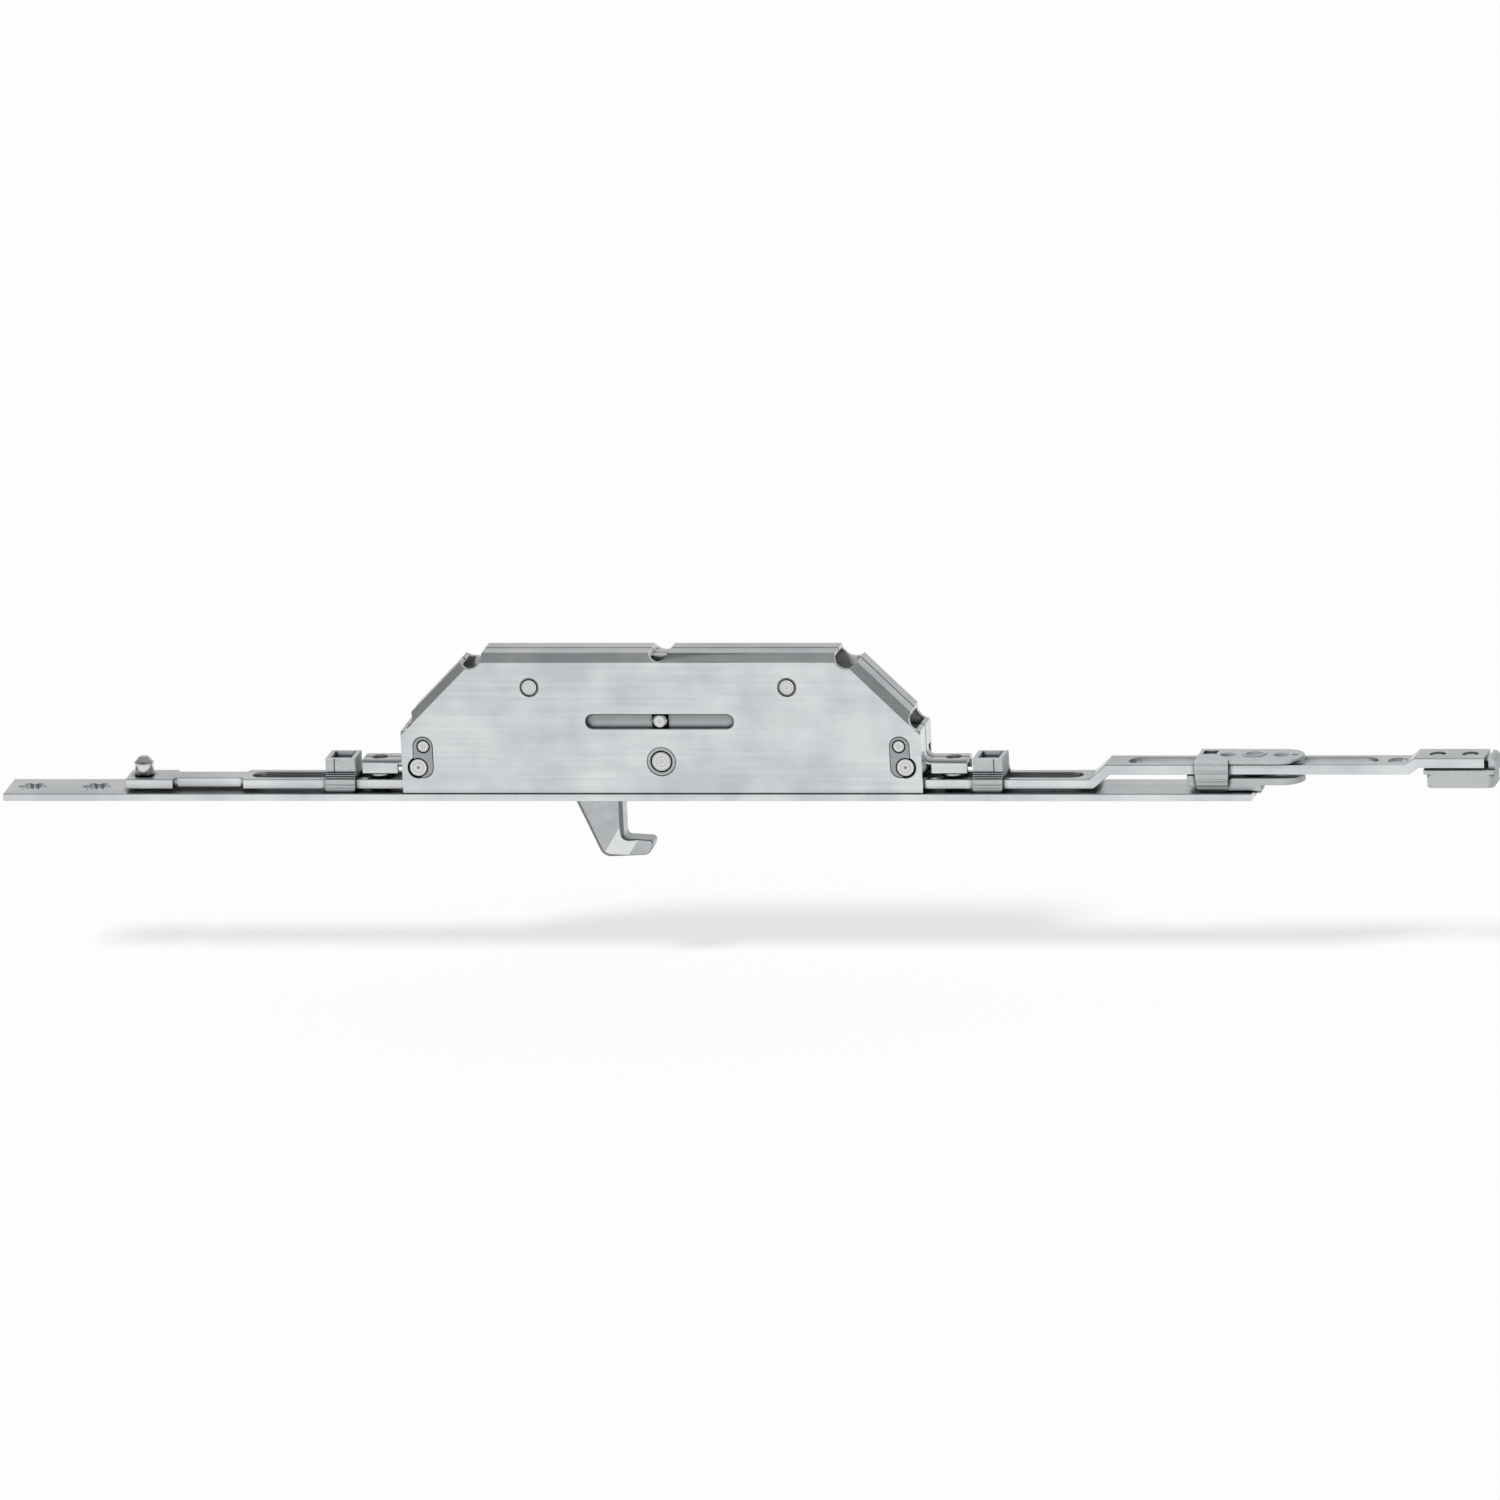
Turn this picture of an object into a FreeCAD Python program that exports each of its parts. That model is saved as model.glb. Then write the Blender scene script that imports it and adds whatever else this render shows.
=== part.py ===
import FreeCAD, Part
import math
import os
import Sketcher
from FreeCAD import Vector

# Hook lock for a sliding leaf: a slim case on a 16 mm faceplate, a hook that
# swings out through the faceplate, and two drive rods that slide 18 mm along it.
# X runs along the faceplate with 0 at the hook's pivot, Z stands up from the faceplate's inner
# face into the case, and Y runs across the faceplate with 0 in its middle. Millimetres.

SIZES = {
    # Faceplate
    "plate_width": 16.0,
    "plate_thick": 2.05,
    "plate_edge_round": 0.4,
    "screw_hole_dia": 4.2,
    "screw_head_dia": 7.4,
    "star_rod_gap": 8.8,
    "star_pitch": 17.4,
    "star_end_margin": 6.5,
    "star_valley_radius": 2.3,
    "star_lobe_radius": 3.7,
    "star_lobe_angle": 11.0,
    "clip_rivet_dia": 3.6,

    # Case: two sheet shells that meet in the middle
    "case_half_length": 70.0,
    "case_shoulder": 15.9,
    "case_fold": 35.7,
    "case_thick": 15.2,
    "sheet": 1.2,
    "fold_bevel": 2.2,
    "relief_radius": 3.3,
    "relief_out": 1.75,
    "lower_relief_out": 0.2,
    "lower_relief_rise": 1.2,
    "notch_radius": 2.7,
    "tongue_width": 7.0,
    "ear_length": 11.5,
    "ear_width": 8.3,
    "ear_top": 8.25,
    "ear_lip_bottom": 4.56,
    "ear_lip_round": 0.95,
    "ear_hole_margin": 4.2,
    "bend_radius": 1.8,

    # Case fasteners
    "tie_reach": 34.7,
    "tie_bar_gap": 1.1,
    "tie_head_dia": 5.0,
    "sleeve_wall": 1.1,

    # Guide blocks in the lower corners, placed from the ends of the case
    "key_inset": 5.8,
    "key_radius": 2.65,
    "key_low": 7.05,
    "key_high": 12.85,
    "key_bulge_inset": 4.4,
    "key_bulge_z": 7.1,
    "key_bulge_radius": 2.85,
    "large_pin_dia": 5.2,
    "small_pin_inset": 5.95,
    "small_pin_dia": 3.6,
    "block_length": 7.1,
    "block_height": 15.7,
    "boss_gap": 0.08,

    # Pivot
    "pivot_height": 8.74,
    "bush_dia": 7.7,
    "pivot_pin_dia": 5.8,
    "washer_dia": 9.6,
    "running_gap": 0.05,

    # Drive
    "stroke": 18.0,
    "slot_height": 19.67,
    "slot_width": 4.0,
    "drive_plate_thick": 1.9,
    "drive_plate_gap": 0.25,
    "drive_washer_gap": 1.26,
    "drive_bar_above": 4.63,
    "foot_width": 10.0,
    "foot_left_gap": 1.2,
    "foot_right_gap": 1.7,
    "foot_thick": 1.9,
    "foot_inner": 0.8,
    "foot_rivet_size": 2.3,
    "foot_rivet_side": 2.25,
    "foot_rivet_margin": 2.8,
    "cross_slot_gap": 0.15,
    "cross_slot_reach": 1.4,

    # Rods
    "rod_width": 10.5,
    "rod_thick": 2.65,
    "rod_lift": 0.6,
    "rod_slot_width": 6.0,
    "rod_slot_inner_gap": 0.55,
    "rod_slot_outer_gap": 4.05,
    "left_rod_inner_end": 6.0,
    "right_rod_inner_end": 4.0,
    "waist_gap": 1.7,
    "waist_length": 19.0,
    "waist_depth": 1.9,
    "first_jog_gap": 3.4,
    "first_jog_length": 4.5,
    "first_jog_rise": 3.95,
    "jog_shift": 1.0,
    "jog_round": 1.2,
    "raised_slot_gap": 4.4,
    "raised_slot_spare": 1.8,
    "coupling_hole_gap": 5.2,
    "second_jog_gap": 3.9,
    "second_jog_length": 2.4,
    "second_jog_rise": 1.8,
    "peg_margin": 4.5,
    "peg_pitch": 8.7,
    "peg_dia": 4.3,
    "coupling_pin_gap": 8.5,
    "coupling_pin_end": 4.3,
    "coupling_pin_dia": 5.2,
    "coupling_pin_straight": 3.5,
    "coupling_pin_cone": 1.55,
    "coupling_pin_tip_dia": 2.4,
    "pin_shank_dia": 3.4,

    # Ear posts that carry the ears on the faceplate
    "post_dia": 5.5,
    "post_collar_dia": 7.4,
    "slide_gap": 0.25,

    # Rod clips
    "clip_ear_gap": 1.7,
    "clip_length": 8.0,
    "clip_top": 8.8,
    "clip_top_width": 9.6,
    "clip_skirt_width": 13.4,
    "clip_flare_top": 5.3,
    "clip_flare_bottom": 3.3,
    "clip_grooves": 4,
    "clip_groove_depth": 0.3,
    "clip_step": 0.35,
    "clip_upper_step": 1.95,
    "clip_lower_step": 1.15,
    "clip_seam": 1.5,
    "clip_seam_width": 0.3,
    "clip_seam_depth": 0.2,
    "clip_pocket": 5.6,
    "clip_pocket_width": 7.0,
    "clip_pocket_deep": 1.6,
    "clip_corner": 1.0,

    # End guide, placed from where its clamp starts
    "guide_jog_gap": 2.7,
    "guide_body": 9.0,
    "guide_length": 28.5,
    "guide_top": 8.8,
    "guide_width": 13.4,
    "guide_crown_low": 7.5,
    "guide_belly_high": 5.5,
    "guide_belly_low": 3.36,
    "guide_hem_high": 1.85,
    "guide_hem_low": 1.24,
    "guide_belly": 0.35,
    "guide_arm_width": 11.6,
    "guide_arm_lap": 1.0,
    "guide_lower_top": 3.55,
    "guide_lower_bottom": 0.3,
    "guide_thin_bottom": 1.8,
    "guide_thick_length": 17.6,
    "guide_stub": 2.4,
    "guide_stub_bottom": 1.4,
    "guide_draft": 0.45,
    "plate_past_guide": 15.3,
    "guide_lug": 1.6,
    "guide_bush_from_start": 15.2,
    "guide_bush_dia": 5.6,
    "guide_socket_dia": 4.2,
    "guide_near_pitch": 7.1,
    "guide_far_pitch": 7.2,
    "guide_hole_dia": 4.3,
    "guide_pip_pitch": 10.9,
    "guide_pip_dia": 2.2,
    "guide_pocket_start": 1.1,
    "guide_pocket_length": 3.7,
    "guide_pocket_side": 0.5,
    "guide_pocket_width": 3.8,
    "guide_pocket_deep": 0.8,
    "guide_lug_width": 5.8,
    "guide_foot_round": 1.0,

    # End shoe
    "shoe_gap": 1.2,
    "shoe_end_gap": 1.0,
    "shoe_wall": 1.8,
    "shoe_block_inset": 0.8,
    "shoe_bottom": 0.9,
    "shoe_flange_bottom": 4.54,
    "shoe_flange_top": 5.72,
    "shoe_neck_inset": 0.6,
    "shoe_corner": 1.7,
    "shoe_flange_corner": 0.9,
    "peg_recess": 0.5,

    # Hook
    "hook_thick": 7.7,
    "hook_side_gap": 0.65,
    "hook_hub_radius": 7.3,
    "hook_hub_lap": 0.5,
    "hook_neck_width": 5.0,
    "hook_inner_edge": 11.9,
    "hook_back_x": 25.75,
    "hook_shoulder_x": 24.5,
    "hook_shoulder_z": 3.2,
    "hook_heel_x": 17.7,
    "hook_heel_z": 18.45,
    "hook_toe_x": 5.3,
    "hook_toe_z": 17.95,
    "hook_tip_x": 3.5,
    "hook_tip_z": 13.9,
    "hook_throat_z": 13.4,
    "hook_heel_round": 3.2,
    "hook_toe_round": 2.4,
    "hook_tip_round": 1.2,
    "hook_throat_round": 1.4,
    "hook_edge": 1.0,
    "taper_top_x": 12.8,
    "taper_top_z": 10.2,
    "taper_bottom_x": 16.9,
    "taper_bottom_z": 16.5,
    "taper_length": 5.83,
    "taper_depth": 0.75,
    "thin_tip_length": 12.0,
    "slot_heel_gap": 0.6,
    "slot_front_gap": 1.4,
    "arm_wall": 3.0,
    "arm_slot_gap": 0.1,
    "hook_back_round": 3.0,
}

doc = FreeCAD.newDocument("hook_lock")
sheet = doc.addObject("Spreadsheet::Sheet", "Sizes")


class Length:
    """A size that knows its present value and the spreadsheet formula that gives it."""

    def __init__(self, formula, value):
        self.formula = formula
        self.value = value

    def __add__(self, other):
        other = as_length(other)
        return Length("(%s + %s)" % (self.formula, other.formula), self.value + other.value)

    def __sub__(self, other):
        other = as_length(other)
        return Length("(%s - %s)" % (self.formula, other.formula), self.value - other.value)

    def __mul__(self, other):
        other = as_length(other)
        return Length("(%s * %s)" % (self.formula, other.formula), self.value * other.value)

    def __truediv__(self, other):
        other = as_length(other)
        return Length("(%s / %s)" % (self.formula, other.formula), self.value / other.value)

    def __neg__(self):
        return Length("(-1 * %s)" % self.formula, -self.value)

    def __rsub__(self, other):
        return as_length(other) - self

    __radd__ = __add__
    __rmul__ = __mul__


def as_length(term):
    return term if isinstance(term, Length) else Length("(%s)" % float(term), float(term))


def root(area):
    return Length("sqrt(%s)" % area.formula, math.sqrt(area.value))


class Sizes:
    """Every driving size by its name, as a Length bound to its cell."""


d = Sizes()
for row, (alias, number) in enumerate(SIZES.items(), start=1):
    sheet.set("A%d" % row, alias)
    sheet.set("B%d" % row, str(number))
    sheet.setAlias("B%d" % row, alias)
    setattr(d, alias, Length("Sizes." + alias, number))
doc.recompute()

# Sizes that follow from the driving ones: across the lock
plate_half = d.plate_width / 2
case_side = d.case_thick / 2
cavity_side = case_side - d.sheet
drive_side = cavity_side - d.drive_plate_gap
hook_half = d.hook_thick / 2
rod_half = d.rod_width / 2
rod_passage = rod_half + d.slide_gap

# Heights
case_top = d.case_fold + d.fold_bevel
wall_shoulder = d.case_shoulder + d.fold_bevel * math.sqrt(2)
ear_bottom = d.ear_top - d.sheet
ear_root = d.ear_top + d.bend_radius + d.sheet / 2
lever = d.slot_height - d.pivot_height
bar_low = d.pivot_height + d.washer_dia / 2 + d.drive_washer_gap
bar_high = d.slot_height + d.drive_bar_above
tie_height = bar_high + d.tie_bar_gap + d.sleeve_wall + d.tie_head_dia / 2
rod_top = d.rod_lift + d.rod_thick
clip_roof = rod_top + d.slide_gap
raised_bottom = d.rod_lift + d.first_jog_rise
raised_top = raised_bottom + d.rod_thick
guide_roof = raised_top + d.slide_gap
end_bottom = raised_bottom + d.second_jog_rise
end_top = end_bottom + d.rod_thick

# Places along both sides of the case, outward from the pivot
top_half = d.case_half_length + wall_shoulder - case_top
fold_half = d.case_half_length + d.case_shoulder - d.case_fold
key_x = d.case_half_length - d.key_inset
key_bulge_x = d.case_half_length - d.key_bulge_inset
small_pin_x = d.case_half_length - d.small_pin_inset
block_outer = d.case_half_length - d.sheet
block_inner = block_outer - d.block_length
ear_reach = d.case_half_length + d.ear_length
screw_reach = ear_reach - d.ear_hole_margin
clip_x = ear_reach + d.clip_ear_gap + d.clip_length / 2
rod_slot_inner = screw_reach - d.post_dia / 2 - d.stroke - d.rod_slot_inner_gap
rod_slot_outer = clip_x + d.post_dia / 2 + d.stroke + d.rod_slot_outer_gap

# Places along the left rod and the faceplate's left end
left_rod_inner = rod_slot_inner - d.left_rod_inner_end
waist_inner = rod_slot_outer + d.waist_gap
waist_outer = waist_inner + d.waist_length
coupling_pin_x = waist_outer + d.coupling_pin_gap
left_rod_outer = coupling_pin_x + d.coupling_pin_end
star_inner = left_rod_outer + d.star_rod_gap
star_outer = star_inner + d.star_pitch
plate_left = star_outer + d.star_end_margin

# Places along the right rod, its guide and the faceplate's right end
first_jog = rod_slot_outer + d.first_jog_gap
first_jog_end = first_jog + d.first_jog_length
raised_slot_start = first_jog_end + d.raised_slot_gap
guide_start = first_jog_end + d.stroke + d.guide_jog_gap + d.guide_stub
guide_body_end = guide_start + d.guide_body
guide_end = guide_start + d.guide_length
guide_bush_x = guide_start + d.guide_bush_from_start
plate_right = guide_start + d.plate_past_guide
raised_slot_end = guide_end + d.stroke + d.raised_slot_spare
coupling_hole_x = raised_slot_end + d.coupling_hole_gap
second_jog = coupling_hole_x + d.second_jog_gap
second_jog_end = second_jog + d.second_jog_length
first_peg = second_jog_end + d.peg_margin
second_peg = first_peg + d.peg_pitch
right_rod_outer = second_peg + d.peg_margin
shoe_start = second_jog_end + d.shoe_gap
shoe_wall_start = right_rod_outer + d.shoe_end_gap
shoe_end = shoe_wall_start + d.shoe_wall

# Drive plates and their feet on the rods
foot_left = block_inner - d.foot_left_gap
foot_right_end = block_inner - d.stroke - d.foot_right_gap
foot_right = foot_right_end - d.foot_width
right_rod_inner = foot_right - d.right_rod_inner_end
foot_rivet_left = rod_slot_inner - d.foot_rivet_margin
foot_rivet_right = foot_right + d.foot_width / 2
drive_pin_dia = d.slot_width - 2 * d.running_gap
coupling_hole_dia = d.coupling_pin_dia + 2 * d.running_gap

# Opening in the faceplate that the hook swings through
hook_slot_right = d.slot_front_gap - d.hook_inner_edge
heel_drop = d.hook_heel_z + d.pivot_height
heel_reach_square = d.hook_heel_x * d.hook_heel_x + heel_drop * heel_drop
hook_slot_left = -root(heel_reach_square - d.pivot_height * d.pivot_height) + d.slot_heel_gap


def bind(feature, name, size):
    feature.setExpression(name, as_length(size).formula)


def point(x, y):
    return Vector(as_length(x).value, as_length(y).value, 0)


def place(sketch, curve, end, x, y):
    """Fix a point of a sketched curve at x, y from the sketch's origin."""
    for kind, size in (("DistanceX", as_length(x)), ("DistanceY", as_length(y))):
        index = sketch.addConstraint(Sketcher.Constraint(kind, -1, 1, curve, end, size.value))
        bind(sketch, "Constraints[%d]" % index, size)


def polygon(*corners):
    """A drawing of straight lines through the corners."""
    def draw(sketch):
        following = corners[1:] + corners[:1]
        lines = [sketch.addGeometry(Part.LineSegment(point(*a), point(*b)), False)
                 for a, b in zip(corners, following)]
        for line, after in zip(lines, lines[1:] + lines[:1]):
            sketch.addConstraint(Sketcher.Constraint("Coincident", line, 2, after, 1))
        for line, (x, y) in zip(lines, corners):
            place(sketch, line, 1, x, y)
    return draw


def rectangle(left, right, low, high):
    return polygon((left, low), (right, low), (right, high), (left, high))


def circles(*rounds):
    """A drawing of full circles, each given as x, y and diameter."""
    def draw(sketch):
        for x, y, diameter in rounds:
            radius = as_length(diameter) / 2
            circle = Part.Circle(point(x, y), Vector(0, 0, 1), radius.value)
            curve = sketch.addGeometry(circle, False)
            place(sketch, curve, 3, x, y)
            index = sketch.addConstraint(Sketcher.Constraint("Radius", curve, radius.value))
            bind(sketch, "Constraints[%d]" % index, radius)
    return draw


def obround(start, end, radius):
    """A drawing of a round-ended slot between two centres on a line along x or y."""
    def draw(sketch):
        first, last = point(*start), point(*end)
        along = (last - first).normalize()
        side = Vector(-along.y, along.x, 0) * as_length(radius).value
        turn = math.atan2(side.y, side.x)
        half_turn = turn + math.pi
        up = Vector(0, 0, 1)
        near = Part.ArcOfCircle(Part.Circle(first, up, side.Length), turn, half_turn)
        far = Part.ArcOfCircle(Part.Circle(last, up, side.Length), half_turn, turn + 2 * math.pi)
        curves = [sketch.addGeometry(curve, False) for curve in (
            near, Part.LineSegment(first - side, last - side),
            far, Part.LineSegment(last + side, first + side))]
        for curve, after in zip(curves, curves[1:] + curves[:1]):
            sketch.addConstraint(Sketcher.Constraint("Tangent", curve, 2, after, 1))
        sketch.addConstraint(Sketcher.Constraint("Equal", curves[0], curves[2]))
        place(sketch, curves[0], 3, *start)
        place(sketch, curves[2], 3, *end)
        index = sketch.addConstraint(Sketcher.Constraint("Radius", curves[0], side.Length))
        bind(sketch, "Constraints[%d]" % index, radius)
    return draw


def new_body(label):
    body = doc.addObject("PartDesign::Body", label)
    body.Label = label
    return body


def extrude(body, kind, name, plane, draw, low, high):
    """Pad or pocket a drawing from low to high along the axis that the plane faces."""
    sketch = body.newObject("Sketcher::SketchObject", name + "Sketch")
    support = [face for face in body.Origin.OriginFeatures if face.Role == plane][0]
    sketch.AttachmentSupport = [(support, "")]
    sketch.MapMode = "FlatFace"
    start = -as_length(high) if plane == "XZ_Plane" else low
    bind(sketch, "AttachmentOffset.Base.z", start)
    draw(sketch)
    feature = body.newObject("PartDesign::" + kind, name)
    feature.Profile = sketch
    feature.Reversed = kind == "Pocket"
    bind(feature, "Length", as_length(high) - low)
    doc.recompute()
    change = removed(feature) if kind == "Pocket" else added(feature)
    if change <= 0:
        raise ValueError("%s changes nothing on %s" % (name, body.Label))
    return feature


def removed(feature):
    return feature.BaseFeature.Shape.Volume - feature.Shape.Volume


def added(feature):
    return -removed(feature) if feature.BaseFeature else feature.Shape.Volume


def pad(body, name, plane, draw, low, high):
    return extrude(body, "Pad", name, plane, draw, low, high)


def pocket(body, name, plane, draw, low, high):
    return extrude(body, "Pocket", name, plane, draw, low, high)


def edges_where(feature, test):
    """Names of the feature's edges whose two ends and middle pass the test."""
    names = []
    for index, edge in enumerate(feature.Shape.Edges, start=1):
        ends = [vertex.Point for vertex in edge.Vertexes]
        if len(ends) == 2 and test(ends[0], ends[1]):
            names.append("Edge%d" % index)
    return names


def edges_along(feature, axis, places):
    """Names of the straight edges along an axis that stand at the given places across it."""
    others = [name for name in "xyz" if name != axis]
    wanted = [(as_length(a).value, as_length(b).value) for a, b in places]

    def stands_there(start, end):
        run = abs(getattr(end, axis) - getattr(start, axis))
        if abs((end - start).Length - run) > 1e-6:
            return False
        here = [getattr(start, name) for name in others]
        return any(math.dist(here, spot) < 0.01 for spot in wanted)
    return edges_where(feature, stands_there)


def dress(body, kind, name, feature, edges, size):
    """Fillet or chamfer the named edges of the body's last feature."""
    dressed = body.newObject("PartDesign::" + kind, name)
    dressed.Base = (feature, edges)
    bind(dressed, "Radius" if kind == "Fillet" else "Size", size)
    doc.recompute()
    return dressed


def across(side, inner, outer):
    """The stretch from inner to outer on the +Y side, or the same on the -Y side."""
    if side > 0:
        return inner, outer
    return -as_length(outer), -as_length(inner)


def compound(label, pieces):
    group = doc.addObject("Part::Compound", label)
    group.Label = label
    group.Links = pieces
    return group


def revolve(body, name, x, corners):
    """Turn a half profile, given as radius and height, about the vertical line at x."""
    sketch = body.newObject("Sketcher::SketchObject", name + "Sketch")
    support = [face for face in body.Origin.OriginFeatures if face.Role == "XZ_Plane"][0]
    sketch.AttachmentSupport = [(support, "")]
    sketch.MapMode = "FlatFace"
    bind(sketch, "AttachmentOffset.Base.x", x)
    polygon(*corners)(sketch)
    turned = body.newObject("PartDesign::Revolution", name)
    turned.Profile = sketch
    turned.ReferenceAxis = (sketch, ["V_Axis"])
    turned.Angle = 360
    doc.recompute()
    return turned


def rims(feature, diameter, height):
    """Names of the round edges of a diameter that lie flat at a height."""
    names = []
    for index, edge in enumerate(feature.Shape.Edges, start=1):
        if isinstance(edge.Curve, Part.Circle) and len(edge.Vertexes) == 1:
            same_size = abs(edge.Curve.Radius - as_length(diameter).value / 2) < 1e-6
            if same_size and abs(edge.Curve.Center.z - as_length(height).value) < 1e-6:
                names.append("Edge%d" % index)
    return names


def star_hole(body, name, x):
    """A six-lobed hole for a pressed locating peg."""
    lobes = 6
    turn = 360 / lobes
    half_lobe = d.star_lobe_angle.value
    corners = []
    for lobe in range(lobes):
        for radius, degrees in ((d.star_lobe_radius, -half_lobe), (d.star_lobe_radius, half_lobe),
                                (d.star_valley_radius, turn / 2)):
            angle = math.radians(turn * lobe + degrees)
            corners.append((x + radius * math.cos(angle), radius * math.sin(angle)))
    pocket(body, name, "XY_Plane", polygon(*corners), -d.plate_thick, 0)


def faceplate():
    body = new_body("faceplate")
    strip = rectangle(-plate_left, plate_right, -plate_half, plate_half)
    feature = pad(body, "Strip", "XY_Plane", strip, -d.plate_thick, 0)
    edges = edges_along(feature, "x", [(-plate_half, -d.plate_thick), (plate_half, -d.plate_thick)])
    dress(body, "Fillet", "StripEdges", feature, edges, d.plate_edge_round)
    slot_half = hook_half + d.hook_side_gap
    opening = rectangle(hook_slot_left, hook_slot_right, -slot_half, slot_half)
    pocket(body, "HookSlot", "XY_Plane", opening, -d.plate_thick, 0)
    star_hole(body, "OuterStar", -star_outer)
    star_hole(body, "InnerStar", -star_inner)
    rivet_holes = circles((-clip_x, 0, d.clip_rivet_dia), (clip_x, 0, d.clip_rivet_dia))
    pocket(body, "ClipRivetHoles", "XY_Plane", rivet_holes, -d.plate_thick, 0)
    screw_holes = circles((-screw_reach, 0, d.screw_hole_dia), (screw_reach, 0, d.screw_hole_dia))
    drilled = pocket(body, "ScrewHoles", "XY_Plane", screw_holes, -d.plate_thick, 0)
    outside_rims = rims(drilled, d.screw_hole_dia, -d.plate_thick)
    countersink = (d.screw_head_dia - d.screw_hole_dia) / 2
    dress(body, "Chamfer", "Countersinks", drilled, outside_rims, countersink)
    return body


def folded_blank(body, side):
    """The shell's rim with its bevelled folds, hollowed to sheet thickness."""
    length, shoulder = d.case_half_length, wall_shoulder
    outline = polygon((-length, 0), (-length, shoulder), (-top_half, case_top),
                      (top_half, case_top), (length, shoulder), (length, 0))
    blank = pad(body, "Blank", "XZ_Plane", outline, *across(side, 0, case_side))

    def on_rim(start, end):
        outside = min(side * start.y, side * end.y) > case_side.value - 1e-6
        return outside and start.z + end.z > 2 * shoulder.value
    folds = dress(body, "Chamfer", "Folds", blank, edges_where(blank, on_rim), d.fold_bevel)
    open_faces = []
    for index, face in enumerate(folds.Shape.Faces, start=1):
        box = face.BoundBox
        if max(abs(box.YMin), abs(box.YMax)) < 1e-6 or max(abs(box.ZMin), abs(box.ZMax)) < 1e-6:
            open_faces.append("Face%d" % index)
    skin = body.newObject("PartDesign::Thickness", "FoldedSheet")
    skin.Base = (folds, open_faces)
    skin.Reversed = True
    skin.Join = 1
    bind(skin, "Value", d.sheet)
    doc.recompute()


def ear(body, name, side, end):
    """A tab bent outward from the end wall, with a lip folded down along its edge."""
    wall_out, wall_in = end * d.case_half_length, end * (d.case_half_length - d.sheet)
    strip = polygon((wall_in, ear_root), (wall_out, ear_root), (wall_out, d.ear_top),
                    (end * ear_reach, d.ear_top), (end * ear_reach, ear_bottom),
                    (wall_in, ear_bottom))
    half_width = d.ear_width / 2
    feature = pad(body, name, "XZ_Plane", strip, *across(side, 0, half_width))
    inner = edges_along(feature, "y", [(wall_out, d.ear_top)])
    bend = dress(body, "Fillet", name + "InnerBend", feature, inner, d.bend_radius)
    outer = edges_along(bend, "y", [(wall_in, ear_bottom)])
    dress(body, "Fillet", name + "OuterBend", bend, outer, d.bend_radius + d.sheet)
    lip_ends = sorted((end * (d.case_half_length + d.bend_radius), end * ear_reach),
                      key=lambda size: size.value)
    lip = rectangle(*across(side, half_width - d.sheet, half_width), d.ear_lip_bottom, d.ear_top)
    feature = pad(body, name + "Lip", "YZ_Plane", lip, *lip_ends)
    edges = edges_along(feature, "x", [(side * half_width, d.ear_top)])
    dress(body, "Fillet", name + "LipBend", feature, edges, d.ear_lip_round)


def case_shell(label, side):
    body = new_body(label)
    folded_blank(body, side)
    window = rectangle(*across(side, 0, cavity_side), 0, ear_root)
    pocket(body, "EndWindows", "YZ_Plane", window, -d.case_half_length, d.case_half_length)
    ear(body, "LeftEar", side, -1)
    ear(body, "RightEar", side, 1)
    depth = across(side, 0, case_side)
    upright, fold_slope = 90, 45
    out = math.radians((upright + fold_slope) / 2)
    upper_x = fold_half + d.relief_out * math.cos(out)
    upper_z = d.case_fold + d.relief_out * math.sin(out)
    lower_x = d.case_half_length + d.lower_relief_out
    lower_z = wall_shoulder + d.lower_relief_rise
    relief = 2 * d.relief_radius
    for name, end in (("Left", -1), ("Right", 1)):
        pocket(body, name + "UpperRelief", "XZ_Plane", circles((end * upper_x, upper_z, relief)), *depth)
        pocket(body, name + "LowerRelief", "XZ_Plane", circles((end * lower_x, lower_z, relief)), *depth)
        key = obround((end * key_x, d.key_low), (end * key_x, d.key_high), d.key_radius)
        pocket(body, name + "Keyhole", "XZ_Plane", key, *depth)
        bulge = circles((end * key_bulge_x, d.key_bulge_z, 2 * d.key_bulge_radius))
        pocket(body, name + "KeyBulge", "XZ_Plane", bulge, *depth)
        hole = circles((end * screw_reach, 0, d.screw_hole_dia))
        pocket(body, name + "EarHole", "XY_Plane", hole, ear_bottom, d.ear_top)
    notch = circles((0, d.case_fold + d.notch_radius, 2 * d.notch_radius))
    pocket(body, "TopNotch", "XZ_Plane", notch, *depth)
    slot = obround((-d.stroke, d.slot_height), (d.stroke, d.slot_height), d.slot_width / 2)
    pocket(body, "DriveSlot", "XZ_Plane", slot, *depth)
    holes = circles((0, d.pivot_height, d.bush_dia),
                    (-d.tie_reach, tie_height, d.tie_head_dia),
                    (d.tie_reach, tie_height, d.tie_head_dia))
    pocket(body, "PivotAndTieHoles", "XZ_Plane", holes, *depth)
    return body


def seam_tongue(body):
    """A tongue of the back shell that bridges the seam under the notch."""
    half = d.tongue_width / 2
    tongue = rectangle(-half, half, case_top - 2 * d.sheet, case_top - d.sheet)
    pad(body, "SeamTongue", "XZ_Plane", tongue, -half, half)


def pin_across(body, name, x, z, diameter):
    """A round pin right through the case, flush with both shells."""
    pad(body, name, "XZ_Plane", circles((x, z, diameter)), -case_side, case_side)


def pin_pair(label, x, z, diameter):
    """Two equal pins, one at each end of the case, as one node."""
    pieces = []
    for name, end in (("Left", -1), ("Right", 1)):
        body = new_body(name + label.title().replace("_", ""))
        pin_across(body, body.Label + "Round", end * x, z, diameter)
        pieces.append(body)
    return compound(label, pieces)


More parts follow.
